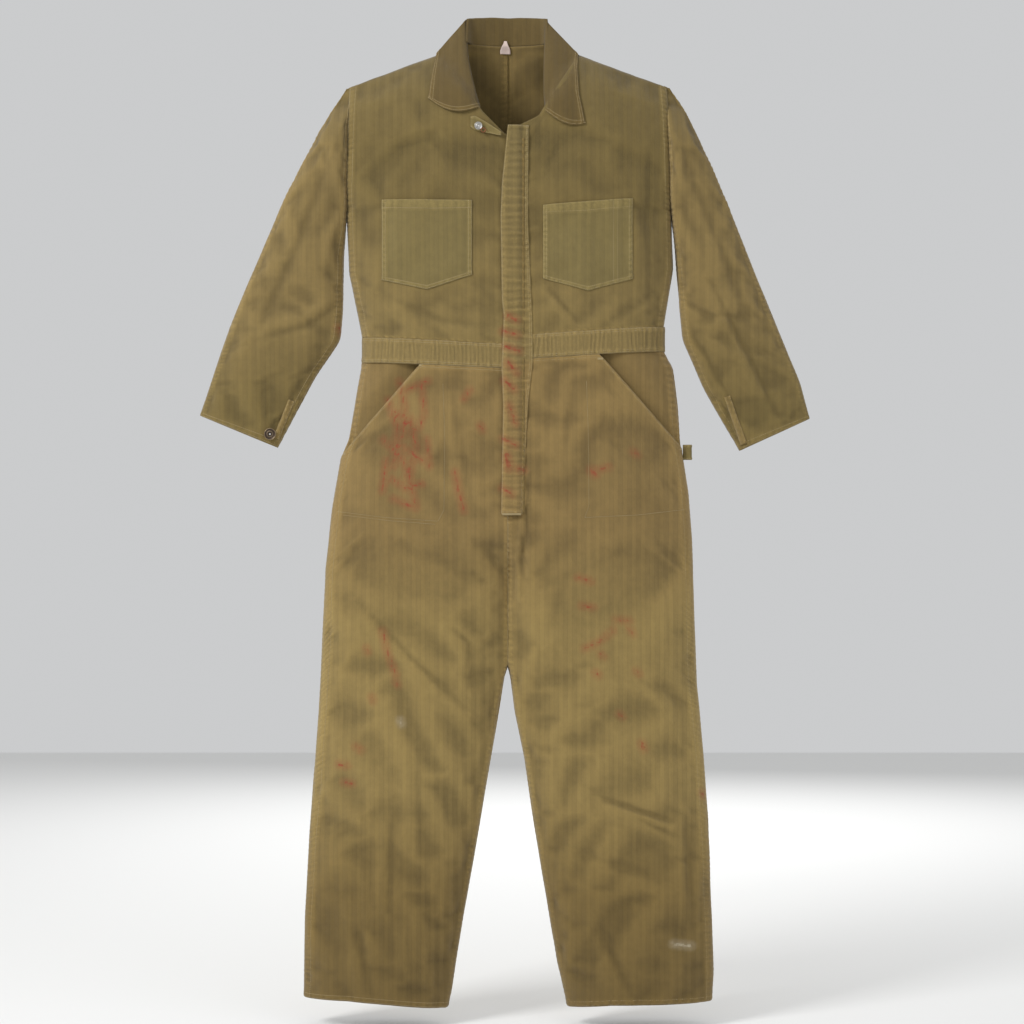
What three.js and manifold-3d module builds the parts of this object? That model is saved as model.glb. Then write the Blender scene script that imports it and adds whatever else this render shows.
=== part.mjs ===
// A one-piece work coverall with an open shirt collar, hung by its neck.
// Millimetres, +Z up, the front faces -Y, +X is the wearer's left.
// The origin is at the back neck seam. Every panel is a slab of cloth with its thickness towards Y.
import * as THREE from "three";
import { mergeVertices } from "three/addons/utils/BufferGeometryUtils.js";
import Module from "manifold-3d";

const wasm = await Module();
wasm.setup();
const { Manifold, Mesh: SolidMesh } = wasm;

// Cloth and clearances
const cloth = 3;
const thinCloth = 2;
const seamGap = 0.35;
const restGap = 0.5;
const halfGap = seamGap / 2;

// Body: half widths and heights of the side seam
const neckHalf = 117;
const neckZ = -20;
const shoulderHalf = 262;
const shoulderZ = -74;
const chestHalf = 268;
const armpitZ = -276;
const waistHalf = 247;
const waistZ = -484;
const waistbandHeight = 40;
const hipHalf = 275;
const hipZ = -660;
const vBottomZ = -157;
const backNeckHalf = 68;
const neckEase = 14;
const shoulderFall = 130;
const armholeEase = 22;
const bodyDepth = 50;
const flatHalf = 50;

// Legs
const thighHalf = 306;
const legPivotZ = -1000;
const crotchZ = -855;
const kneeHalf = 322;
const kneeZ = -1200;
const hemHalf = 338;
const hemOuterZ = -1574;
const hemInnerHalf = 101;
const hemInnerZ = -1589;
const kneeInnerHalf = 31;
const thighInnerHalf = 3;
const legDepth = 42;
const legSwing = 14;
const closureEndZ = -779;
const crotchTopZ = closureEndZ - 4;

// Sleeves, in the wearer's left half
const sleevePivot = new THREE.Vector2(329, -331);
const sleeveRadius = 58;
const sleeveLean = 18.5;
const sleeveOuter = [[416, -388], [458, -490], [492, -580], [503, -618]];
const sleeveInner = [[274, -410], [279, -475], [300, -510], [340, -580], [384, -671]];
const sleeveDepth = 32;
const cuffDepth = 14;
const sleeveSwing = 40;
const capEase = 30;

// Collar
const standHeight = 44;
const fallDrop = 30;
const leafRollTop = [70.5, 4, 34];
const leafLift = { shoulder: 2, rollBottom: 3.5, point: 3.5 };
const leafCorners = { shoulder: [117, -22], rollBottom: [43, -112], point: [128, -118] };

// Pockets
const chestPocketInner = 57;
const chestPocketWidth = 148;
const chestPocketTopZ = -264;
const chestPocketSideZ = -392;
const chestPocketPointZ = -413;
const chestPocketRoom = 8;
const slashInner = 146;
const slashOuterZ = -671;
const bagInner = 118;
const bagBottomZ = -782;
const bagRoom = 9;

// Front closure
const overlapRight = 10;
const standWidth = 38;
const flySeam = 34;
const flapEdge = -12;
const flapHinge = 40;
const flapTopZ = -145;
const flapFootZ = -700;
const stripTopZ = -165;
const buttonX = 8;
const buttonZs = [-215, -325, -435, -560, -665];
const headRadius = 8.5;
const headThickness = 3;
const boreRadius = 2.2;
const pinRadius = 1.3;
const tackRadius = 4.5;
const tackBase = 1;

// Cuff and neck hardware, loop and tag
const cuffButton = [392, -645];
const neckButton = [-48, -146];
const neckHeadRadius = 6;
const neckRing = [-40, -153];
const ringRadius = 3.4;
const ringSection = 1;
const tabOuter = -60;
const tabInner = -14;
const tabTopZ = -135;
const tabBottomZ = -159;
const tabCurl = 7;
const tagHalf = 8;
const tagHeight = 20;
const tagThickness = 0.7;
const loopZ = -663;
const loopHeight = 25;
const loopLength = 21;
const loopHalfWidth = 5.2;
const loopBand = 1.8;

const colours = {
  body: 0x85744a,
  olive: 0x70643c,
  thigh: 0x8c7950,
  lower: 0x6e5c37,
  band: 0x968458,
  metal: 0x9a958a,
  brass: 0xa0703c,
  bronze: 0x5c4a34,
  tag: 0xd8c4bc,
};

const group = new THREE.Group();

function lerp(a, b, t) {
  return a + (b - a) * t;
}

function clamp01(t) {
  return Math.min(1, Math.max(0, t));
}

function smooth(t) {
  const s = clamp01(t);
  return s * s * (3 - 2 * s);
}

function even(count) {
  return Array.from({ length: count + 1 }, (_, i) => i / count);
}

// Shares from 0 to 1 with first steps up to middle and second steps after it.
function inTwo(middle, first, second) {
  const later = even(second).slice(1).map((t) => lerp(middle, 1, t));
  return [...even(first).map((t) => t * middle), ...later];
}

// Half width read from a list of [z, x] points that goes downwards.
function widthAt(points, z) {
  for (let i = 1; i < points.length; i++) {
    const [z0, x0] = points[i - 1];
    const [z1, x1] = points[i];
    const reached = z >= z1 || i === points.length - 1;
    if (reached) return lerp(x0, x1, clamp01((z0 - z) / (z0 - z1)));
  }
  return points[0][1];
}

function addPart(name, geometry, colour, roughness = 0.95, metalness = 0) {
  const material = new THREE.MeshStandardMaterial({ color: colour, roughness, metalness });
  const mesh = new THREE.Mesh(geometry, material);
  mesh.name = name;
  group.add(mesh);
}

// Slab whose grid columns stand at the values u and rows at the values v (0 at the top).
// place(u, v, w) gives a corner, with w = 0 on the -Y face and 1 on the +Y face.
function slab(columns, rows, place) {
  const across = columns.length - 1;
  const down = rows.length - 1;
  const geometry = new THREE.BoxGeometry(1, 1, 1, across, 1, down);
  const at = geometry.attributes.position;
  for (let i = 0; i < at.count; i++) {
    const u = columns[Math.round((at.getX(i) + 0.5) * across)];
    const v = rows[Math.round((0.5 - at.getZ(i)) * down)];
    at.setXYZ(i, ...place(u, v, at.getY(i) + 0.5));
  }
  return geometry;
}

// The same piece for the wearer's right: x changes sign and each face is turned round.
function mirrored(geometry) {
  const flipped = geometry.toNonIndexed();
  const at = flipped.attributes.position;
  for (let i = 0; i < at.count; i += 3) {
    const [a, b, c] = [0, 2, 1].map((k) => [-at.getX(i + k), at.getY(i + k), at.getZ(i + k)]);
    at.setXYZ(i, ...a);
    at.setXYZ(i + 1, ...b);
    at.setXYZ(i + 2, ...c);
  }
  return flipped;
}

function addPair(name, geometry, colour) {
  addPart(name + "_left", geometry, colour);
  addPart(name + "_right", mirrored(geometry), colour);
}

function solidOf(geometry) {
  const bare = geometry.clone();
  bare.deleteAttribute("normal");
  bare.deleteAttribute("uv");
  const merged = mergeVertices(bare, 1e-4);
  const triVerts = new Uint32Array(merged.index.array);
  const vertProperties = merged.attributes.position.array;
  return new Manifold(new SolidMesh({ numProp: 3, vertProperties, triVerts }));
}

function geometryOf(solid) {
  const { vertProperties, triVerts } = solid.getMesh();
  const geometry = new THREE.BufferGeometry();
  geometry.setAttribute("position", new THREE.BufferAttribute(vertProperties, 3));
  geometry.setIndex(new THREE.BufferAttribute(triVerts, 1));
  return geometry;
}

// Removes each cutter, a closed geometry already in place, from the piece.
function cut(geometry, cutters) {
  const remove = (solid, cutter) => solid.subtract(solidOf(cutter));
  return geometryOf(cutters.reduce(remove, solidOf(geometry)));
}

function hole(x, z, yFrom, yTo) {
  const drill = new THREE.CylinderGeometry(boreRadius, boreRadius, yTo - yFrom, 12);
  return drill.translate(x, (yFrom + yTo) / 2, z);
}

// Side seam of the body and the outer and inner seams of a leg
const bodySide = [
  [shoulderZ, shoulderHalf],
  [armpitZ, chestHalf],
  [armpitZ - 100, chestHalf],
  [waistZ, waistHalf],
  [waistZ - waistbandHeight, waistHalf],
];
const trouserSide = [
  [waistZ - waistbandHeight, waistHalf + 8],
  [hipZ, hipHalf],
  [hipZ - 110, hipHalf + 22],
  [legPivotZ, thighHalf],
  [kneeZ, kneeHalf],
  [hemOuterZ, hemHalf],
];
const inseam = [
  [crotchZ, halfGap],
  [legPivotZ, thighInnerHalf],
  [kneeZ, kneeInnerHalf],
  [hemInnerZ, hemInnerHalf],
];

// How far the inside of a body panel stands from the side seam plane
function lens(x, half) {
  const part = Math.max(0, Math.abs(x) - flatHalf) / (half - flatHalf);
  return 1 - Math.min(1, part) ** 3.5;
}

function tube(u) {
  return 1 - Math.abs(2 * u - 1) ** 2.4;
}

function shoulderLine(x) {
  return neckZ + ((neckHalf - Math.abs(x)) * (neckZ - shoulderZ)) / (shoulderHalf - neckHalf);
}

function shoulderRamp(x, z) {
  return clamp01((shoulderLine(x) - z) / shoulderFall);
}

function armhole(z) {
  return armholeEase * Math.sin(Math.PI * clamp01((shoulderZ - z) / (shoulderZ - armpitZ)));
}

function bodyBulge(x, z) {
  const half = widthAt(bodySide, z);
  const edge = Math.abs(x) / half;
  return bodyDepth * lens(x, half) * shoulderRamp(x, z) + armhole(z) * edge ** 8;
}

function backBulge(x, z) {
  const ease = neckEase * Math.max(0, 1 - (x / neckHalf) ** 2) * (1 - shoulderRamp(x, z));
  return bodyBulge(x, z) + ease;
}

function legShare(x, z) {
  const inner = widthAt(inseam, z);
  const outer = widthAt(trouserSide, z);
  return clamp01((Math.abs(x) - inner) / (outer - inner));
}

function hipBulge(x, z) {
  const whole = bodyDepth * lens(x, widthAt(trouserSide, z));
  const single = legDepth * tube(legShare(x, z));
  return lerp(whole, single, smooth((crotchTopZ - z) / (crotchTopZ - crotchZ - 5)));
}

// Front (-Y) or back (+Y) slab corner, raised clear of what lies under it by lift
function frontY(bulge, w, thickness = cloth, lift = 0) {
  return -(halfGap + bulge + lift + (1 - w) * thickness);
}

function backY(bulge, w, thickness = cloth, lift = 0) {
  return halfGap + bulge + lift + w * thickness;
}

function necklineZ(x) {
  return lerp(vBottomZ, neckZ, Math.abs(x) / neckHalf);
}

function bodiceTopZ(x, front) {
  if (x >= neckHalf) return shoulderLine(x);
  if (front) return necklineZ(x);
  return x <= backNeckHalf ? 0 : lerp(0, neckZ, (x - backNeckHalf) / (neckHalf - backNeckHalf));
}

function bodicePanel(inner, front) {
  const neckAt = (neckHalf - inner) / (shoulderHalf - inner);
  const armholeEnd = (shoulderZ - armpitZ) / (shoulderZ - waistZ);
  const columns = inTwo(neckAt, 3, 5);
  const rows = inTwo(armholeEnd, 4, 3);
  return slab(columns, rows, (u, v, w) => {
    const topZ = bodiceTopZ(lerp(inner, shoulderHalf, u), front);
    const z = lerp(topZ, waistZ, v);
    const x = lerp(inner, widthAt(bodySide, z), u);
    return front ? [x, frontY(bodyBulge(x, z), w), z] : [x, backY(backBulge(x, z), w), z];
  });
}

function addBodice() {
  const rightFront = mirrored(bodicePanel(overlapRight, true));
  const surface = frontY(bodyBulge(neckButton[0], neckButton[1]), 0);
  const drilled = cut(rightFront, [hole(...neckButton, surface - 9, surface + 12)]);
  addPart("front_bodice_left", bodicePanel(flySeam, true), colours.olive);
  addPart("front_bodice_right", drilled, colours.olive);
  addPair("back_bodice", bodicePanel(halfGap, false), colours.olive);
}

// A joint between two tubes: a round end turns in a hollow end.
// Columns stand at equal angles round the end. The hollow end has its columns half a step aside,
// so its flats touch the round end's corners with the gap between them.
const roundSteps = 8;

function roundAngles() {
  return even(roundSteps).map((t) => t * Math.PI);
}

function hollowAngles() {
  const step = Math.PI / roundSteps;
  return [0, ...even(roundSteps - 1).map((_, i) => (i + 0.5) * step), Math.PI];
}

function hollowRise(across, radius, swing) {
  const reach = radius / Math.cos(Math.PI / (2 * roundSteps)) + seamGap;
  const turn = THREE.MathUtils.degToRad(swing);
  if (across <= reach * Math.cos(turn)) return Math.sqrt(Math.max(0, reach ** 2 - across ** 2));
  return (reach - across * Math.cos(turn)) / Math.sin(turn);
}

const lean = THREE.MathUtils.degToRad(sleeveLean);
const sleeveDown = new THREE.Vector2(Math.sin(lean), -Math.cos(lean));
const sleeveAcross = new THREE.Vector2(Math.cos(lean), Math.sin(lean));

function sleevePoint(across, down) {
  return sleevePivot.clone().addScaledVector(sleeveAcross, across).addScaledVector(sleeveDown, down);
}

function shareAt(u) {
  return -Math.cos(u);
}

// Between the armhole seam and the hollow end above the elbow
function sleeveCapPanel(front) {
  const innerTop = new THREE.Vector2(shoulderHalf + seamGap, shoulderZ);
  const outerTop = new THREE.Vector2(shoulderHalf + 14, shoulderZ - 20);
  const upperArm = new THREE.Vector2(318, -165);
  const armpit = new THREE.Vector2(chestHalf + seamGap * 2, armpitZ);
  const outerEnd = sleevePoint(sleeveRadius, -hollowRise(sleeveRadius, sleeveRadius, sleeveSwing));
  const innerPath = [innerTop, armpit, sleevePoint(-sleeveRadius, 0)].map((p) => p.toArray());
  const outerPath = [outerTop, upperArm, outerEnd].map((p) => p.toArray());
  return slab(hollowAngles(), even(5), (u, v, w) => {
    const share = lerp(u / Math.PI, (shareAt(u) + 1) / 2, v);
    const across = shareAt(u) * sleeveRadius;
    const end = sleevePoint(across, -hollowRise(across, sleeveRadius, sleeveSwing));
    const straightEnd = sleevePoint(-sleeveRadius, 0).lerp(outerEnd, share);
    const point = pathPoint(innerPath, v ** 0.6).lerp(pathPoint(outerPath, v), share);
    point.addScaledVector(end.sub(straightEnd), v ** 1.5);
    const opening = v < 0.8 ? armhole(point.y) * (1 - share) ** 3 : 0;
    const depth = sleeveDepth * tube(share) * smooth(v * 2.5) + opening;
    const x = Math.max(point.x, widthAt(bodySide, point.y) + seamGap + share * capEase);
    return [x, front ? frontY(depth, w) : backY(depth, w), point.y];
  });
}

function pathPoint(points, t) {
  const place = t * (points.length - 1);
  const i = Math.min(points.length - 2, Math.floor(place));
  return new THREE.Vector2(...points[i]).lerp(new THREE.Vector2(...points[i + 1]), place - i);
}

function sleevePlace(u, v) {
  const share = (shareAt(u) + 1) / 2;
  const innerStart = sleevePoint(-sleeveRadius, 0).toArray();
  const outerStart = sleevePoint(sleeveRadius, 0).toArray();
  const inner = pathPoint([innerStart, ...sleeveInner], v);
  const outer = pathPoint([outerStart, ...sleeveOuter], v);
  const rise = sleeveRadius * Math.sin(u) * (1 - v) ** 3;
  return inner.lerp(outer, share).addScaledVector(sleeveDown, -rise);
}

function sleeveBulge(share, v) {
  return lerp(sleeveDepth, cuffDepth, v) * tube(share);
}

function sleevePanel(front) {
  return slab(roundAngles(), even(7), (u, v, w) => {
    const point = sleevePlace(u, v);
    const depth = sleeveBulge((shareAt(u) + 1) / 2, v);
    return [point.x, front ? frontY(depth, w) : backY(depth, w), point.y];
  });
}

// Depth of the cuff end at a point, taken across from the inner to the outer corner
function cuffBulgeAt(x) {
  const inner = sleeveInner.at(-1)[0] - 12;
  const outer = sleeveOuter.at(-1)[0];
  return sleeveBulge(clamp01((x - inner) / (outer - inner)), 1);
}

function addSleeves() {
  addPair("sleeve_cap_front", sleeveCapPanel(true), colours.olive);
  addPair("sleeve_cap_back", sleeveCapPanel(false), colours.olive);
  const drill = hole(...cuffButton, -60, 60);
  const drilledLeft = cut(sleevePanel(false), [drill]);
  const drilledRight = mirrored(cut(sleevePanel(true), [drill]));
  addPart("sleeve_front_left", sleevePanel(true), colours.body);
  addPart("sleeve_front_right", drilledRight, colours.body);
  addPart("sleeve_back_left", drilledLeft, colours.body);
  addPart("sleeve_back_right", mirrored(sleevePanel(false)), colours.body);
}

function waistbandPanel(from, to, front) {
  const top = waistZ - seamGap;
  const bottom = waistZ - waistbandHeight + seamGap;
  return slab(even(from * to < 0 ? 12 : 7), even(1), (u, v, w) => {
    const x = lerp(from, to, u);
    const z = lerp(top, bottom, v);
    return [x, front ? frontY(bodyBulge(x, z), w) : backY(bodyBulge(x, z), w), z];
  });
}

function addWaistband() {
  addPart("waistband_left", waistbandPanel(flySeam, waistHalf, true), colours.band);
  addPart("waistband_right", waistbandPanel(-waistHalf, -overlapRight, true), colours.band);
  addPart("waistband_back", waistbandPanel(-waistHalf, waistHalf, false), colours.band);
}

// Top of the front trouser panel, cut away along the slash opening
const trouserTopZ = waistZ - waistbandHeight;

function slashZ(x) {
  return lerp(trouserTopZ, slashOuterZ, (x - slashInner) / (hipHalf - slashInner));
}

const legCentre = (thighInnerHalf + thighHalf) / 2;
const legRadius = (thighHalf - thighInnerHalf) / 2;

function trouserX(share, z, inner) {
  const edge = z > crotchTopZ ? inner : widthAt(inseam, z);
  return lerp(edge, widthAt(trouserSide, z), share);
}

function hipPanel(inner, front) {
  const closureShare = 0.6;
  const rows = inTwo(closureShare, 5, 3);
  return slab(hollowAngles(), rows, (u, v, w) => {
    const share = (shareAt(u) + 1) / 2;
    const rise = hollowRise(shareAt(u) * legRadius, legRadius, legSwing);
    const bottom = legPivotZ + rise;
    let top = trouserTopZ;
    if (front) {
      for (let i = 0; i < 12; i++) {
        top = Math.min(trouserTopZ, slashZ(trouserX(share, top, inner)));
      }
    }
    const closed = closureEndZ - 1;
    const below = (v - closureShare) / (1 - closureShare);
    const z = below <= 0 ? lerp(top, closed, v / closureShare) : lerp(closed, bottom, below);
    const narrowing = smooth((z - bottom) / 200);
    const x = lerp(legCentre + shareAt(u) * legRadius, trouserX(share, z, inner), narrowing);
    return [x, front ? frontY(hipBulge(x, z), w) : backY(hipBulge(x, z), w), z];
  });
}

function legPanel(front) {
  return slab(roundAngles(), even(7), (u, v, w) => {
    const share = (shareAt(u) + 1) / 2;
    const rise = legRadius * Math.sin(u) * (1 - v) ** 3;
    const z = lerp(legPivotZ, lerp(hemInnerZ, hemOuterZ, share), v) + rise;
    const level = Math.min(z, legPivotZ);
    const x = lerp(widthAt(inseam, level), widthAt(trouserSide, level), share);
    const depth = legDepth * tube(share);
    return [x, front ? frontY(depth, w) : backY(depth, w), z];
  });
}

function addTrousers() {
  addPart("hip_front_left", hipPanel(flySeam, true), colours.thigh);
  addPart("hip_front_right", mirrored(hipPanel(overlapRight, true)), colours.thigh);
  addPair("hip_back", hipPanel(halfGap, false), colours.thigh);
  addPair("leg_front", legPanel(true), colours.lower);
  addPair("leg_back", legPanel(false), colours.lower);
}

// Lining behind the slash opening: level with the hip at the side seam, sunk behind the front panel
function pocketFacing() {
  const slashRun = Math.hypot(hipHalf - slashInner, trouserTopZ - slashOuterZ);
  const normalX = (trouserTopZ - slashOuterZ) / slashRun;
  const normalZ = (hipHalf - slashInner) / slashRun;
  return slab(even(8), even(9), (u, v, w) => {
    const z = lerp(trouserTopZ - seamGap, bagBottomZ, v);
    const pull = lerp(1, 42, smooth((slashOuterZ + 80 - z) / 50));
    const x = lerp(bagInner, widthAt(trouserSide, z) - pull, u);
    const beyond = (x - slashInner) * normalX + (z - trouserTopZ) * normalZ;
    const bulge = hipBulge(x, z);
    const sink = (cloth + bagRoom) * (1 - smooth(beyond / 45));
    const inside = Math.max(0.2, bulge - sink);
    return [x, frontY(inside, w, Math.min(thinCloth, bulge + cloth - inside)), z];
  });
}

// Patch pocket: stands off the bodice by its room, and comes down to it at its sides and point
function chestPocket() {
  const columns = [0, 0.06, 0.3, 0.5, 0.7, 0.94, 1];
  const rows = [0, 0.3, 0.6, 0.92, 1];
  return slab(columns, rows, (u, v, w) => {
    const x = chestPocketInner + u * chestPocketWidth;
    const bottom = lerp(chestPocketPointZ, chestPocketSideZ, Math.abs(2 * u - 1));
    const z = lerp(chestPocketTopZ, bottom, v);
    const edge = u === 0 || u === 1 || v === 1;
    const lift = cloth + (edge ? restGap : chestPocketRoom);
    return [x, frontY(bodyBulge(x, z), w, thinCloth, lift), z];
  });
}

// Y of the closure's layers, counted outwards from the inside of the front panels
const closureY = -(halfGap + bodyDepth);
const holeStripLift = cloth + seamGap;
const headLift = holeStripLift + thinCloth + seamGap;
const flapLift = headLift + headThickness + restGap;

function closureStrip(from, to, topZ, bottomZ, lift, thickness, rows = 1) {
  const width = to - from;
  return slab(even(3), even(rows), (u, v, w) => {
    const x = from + u * width;
    const z = lerp(topZ, bottomZ, v);
    return [x, frontY(bodyDepth, w, thickness, lift), z];
  });
}

function flapPanel(topZ, bottomZ, rows) {
  const columns = [flapEdge, flapEdge / 2, buttonX + headRadius + 1, flapHinge];
  return slab(even(3), even(rows), (u, v, w) => {
    const x = columns[Math.round(u * 3)];
    const z = lerp(topZ, bottomZ, v);
    const lift = x === flapHinge ? headLift : flapLift;
    return [x, frontY(bodyDepth, w, thinCloth, lift), z];
  });
}

// Turned piece whose axis points out of the front: profile in [radius, distance outwards]
function turned(profile, x, y, z, outwards = -1) {
  const points = profile.map(([r, h]) => new THREE.Vector2(r, h));
  const geometry = new THREE.LatheGeometry(points, 10);
  if (outwards < 0) geometry.rotateX(Math.PI);
  return geometry.translate(x, y, z);
}

// Ring-shaped button head with a rolled rim and a bore through which the tack shows
function headProfile(radius, thickness) {
  return [
    [boreRadius, 0],
    [radius - 1, 0],
    [radius, thickness * 0.4],
    [radius - 0.8, thickness],
    [radius - 2.4, thickness],
    [boreRadius + 0.8, thickness * 0.6],
    [boreRadius, thickness * 0.6],
    [boreRadius, 0],
  ];
}

// Tack: a flat base behind the cloth and a pin that ends inside the head
function tackProfile(pinLength) {
  return [
    [0, 0],
    [tackRadius, 0],
    [tackRadius, tackBase],
    [pinRadius, tackBase],
    [pinRadius, tackBase + pinLength],
    [0, tackBase + pinLength + 0.4],
  ];
}

function addFrontClosure() {
  const slot = (z) => new THREE.BoxGeometry(22, 40, 5).translate(buttonX, closureY, z);
  const buttonHoles = buttonZs.map(slot);
  const standLeft = seamGap - overlapRight;
  const stand = closureStrip(standLeft, standWidth - overlapRight, stripTopZ, closureEndZ, 0, thinCloth, 9);
  const holes = buttonZs.map((z) => hole(buttonX, z, closureY - 40, closureY + 20));
  addPart("button_stand", cut(stand, holes), colours.band);
  const strip = closureStrip(-5, flapHinge + 2, stripTopZ, closureEndZ, holeStripLift, thinCloth, 9);
  addPart("buttonhole_fly", cut(strip, buttonHoles), colours.band);
  addPart("fly_flap", flapPanel(flapTopZ, flapFootZ, 2), colours.band);
  addPart("fly_foot", flapPanel(flapFootZ - seamGap * 2, closureEndZ, 3), colours.band);
  const headY = closureY - headLift;
  const backOfStand = closureY + seamGap + tackBase;
  const pinLength = seamGap + headLift + headThickness * 0.4;
  buttonZs.forEach((z, i) => {
    const number = i + 1;
    const head = turned(headProfile(headRadius, headThickness), buttonX, headY, z);
    const tack = turned(tackProfile(pinLength), buttonX, backOfStand, z);
    addPart("front_button_head_" + number, head, colours.bronze, 0.45, 0.9);
    addPart("front_button_tack_" + number, tack, colours.metal, 0.4, 0.95);
  });
}

// A tack button through one or two layers of cloth whose outer face is at `surface` (distance from y = 0)
function addTackButton(name, x, z, radius, surface, layers, slope, side) {
  const lean = slope * radius;
  const headY = side * (surface + lean + seamGap);
  const baseDistance = surface - layers - slope * tackRadius - restGap * 2;
  const pinLength = surface + lean + seamGap + headThickness * 0.4 - baseDistance;
  const head = turned(headProfile(radius, headThickness), x, headY, z, side);
  const tack = turned(tackProfile(pinLength), x, side * (baseDistance - tackBase), z, side);
  addPart(name + "_head", head, colours.bronze, 0.45, 0.9);
  addPart(name + "_tack", tack, colours.metal, 0.4, 0.95);
}

function addCuffButtons() {
  const [x, z] = cuffButton;
  const surface = halfGap + cuffBulgeAt(x) + cloth;
  const slope = (cuffBulgeAt(x + 6) - cuffBulgeAt(x - 6)) / 12;
  addTackButton("cuff_button_right", -x, z, headRadius + 1, surface, cloth, slope, -1);
  addTackButton("cuff_button_left", x, z, headRadius + 1, surface, cloth, slope, 1);
}

// Throat tab on the wearer's right front, its free end curled away from the chest
function tabLift(x) {
  const along = clamp01((x - tabOuter) / (tabInner - tabOuter));
  return cloth + seamGap + tabCurl * Math.max(0, along - 0.45) ** 2 * 3;
}

function addNeckTab() {
  const columns = even(6);
  const tab = slab(columns, even(1), (u, v, w) => {
    const x = lerp(tabOuter, tabInner, u);
    const top = lerp(tabTopZ, tabTopZ - 6, u);
    const bottom = lerp(tabBottomZ, tabBottomZ + 2, u);
    const z = lerp(top, bottom, v);
    return [x, frontY(bodyDepth, w, thinCloth, tabLift(x)), z];
  });
  const outside = halfGap + bodyDepth + cloth + seamGap + thinCloth;
  const drill = hole(...neckButton, -outside - 9, -outside + 12);
  addPart("neck_tab", cut(tab, [drill]), colours.band);
  addTackButton("neck_button", ...neckButton, neckHeadRadius, outside + restGap, outside - halfGap - 44, 0, -1);
  const section = even(8).map((t) => {
    const angle = t * Math.PI * 2;
    return [ringRadius + ringSection * Math.cos(angle), ringSection * (1 + Math.sin(angle))];
  });
  const ringY = -(outside + seamGap);
  addPart("neck_ring", turned(section, neckRing[0], ringY, neckRing[1]), colours.brass, 0.35, 0.95);
}

function addCollar() {
  const seatAt = (x, z) => backBulge(x, Math.min(z, 0));
  const stand = slab(even(10), even(2), (u, v, w) => {
    const x = lerp(-backNeckHalf, backNeckHalf, u);
    return [x, backY(seatAt(x, 0), w), lerp(standHeight, seamGap, v)];
  });
  addPart("collar_stand", stand, colours.olive);
  const fall = slab(even(10), even(4), (u, v, w) => {
    const x = lerp(-1, 1, u) * lerp(backNeckHalf, backNeckHalf + 14, v);
    const z = lerp(standHeight, -fallDrop, v);
    return [x, backY(seatAt(x, z), w, thinCloth, cloth + restGap), z];
  });
  addPart("collar_fall", fall, colours.body);
  const corner = (name) => {
    const [x, z] = leafCorners[name];
    return new THREE.Vector3(x, frontY(bodyBulge(x, z), 0, cloth, leafLift[name]), z);
  };
  const leaf = slab(even(4), even(5), (u, v, w) => {
    const top = new THREE.Vector3(...leafRollTop).lerp(corner("shoulder"), u);
    const bottom = corner("rollBottom").lerp(corner("point"), u);
    const point = top.lerp(bottom, v);
    return [point.x, point.y + (w - 0.5) * thinCloth, point.z];
  });
  addPair("collar_leaf", leaf, colours.band);
  const tag = slab(even(2), even(1), (u, v, w) => {
    const x = lerp(-tagHalf, tagHalf, u);
    const z = lerp(-1, -tagHeight, v);
    return [x, halfGap + backBulge(x, z) - restGap - tagThickness * (2 - w), z];
  });
  addPart("neck_tag", tag, colours.tag);
}

// Folded strip that stands out from the left side seam as an open loop
function addToolLoop() {
  const hub = loopHalfWidth;
  const outline = new THREE.Shape();
  outline.absarc(0, 0, hub, Math.PI / 2, Math.PI * 1.5, false);
  outline.lineTo(loopLength - 2 * hub, -hub);
  outline.absarc(loopLength - 2 * hub, 0, hub, -Math.PI / 2, Math.PI / 2, false);
  const hollow = new THREE.Path();
  const room = hub - loopBand;
  hollow.absarc(0, 0, room, Math.PI / 2, Math.PI * 1.5, false);
  hollow.lineTo(loopLength - 2 * hub, -room);
  hollow.absarc(loopLength - 2 * hub, 0, room, -Math.PI / 2, Math.PI / 2, false);
  outline.holes.push(hollow);
  const settings = { depth: loopHeight, bevelEnabled: false, curveSegments: 5 };
  const loop = new THREE.ExtrudeGeometry(outline, settings);
  const seamX = widthAt(trouserSide, loopZ - loopHeight) + restGap + hub;
  loop.translate(seamX, 0, loopZ - loopHeight);
  addPart("tool_loop", loop, colours.band);
}

addBodice();
addSleeves();
addWaistband();
addTrousers();
addPair("hip_pocket", pocketFacing(), colours.band);
addPair("chest_pocket", chestPocket(), colours.olive);
addFrontClosure();
addCuffButtons();
addNeckTab();
addCollar();
addToolLoop();

export default group;
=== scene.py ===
import math

import bpy
import numpy as np
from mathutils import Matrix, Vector
from mathutils.bvhtree import BVHTree


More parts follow.
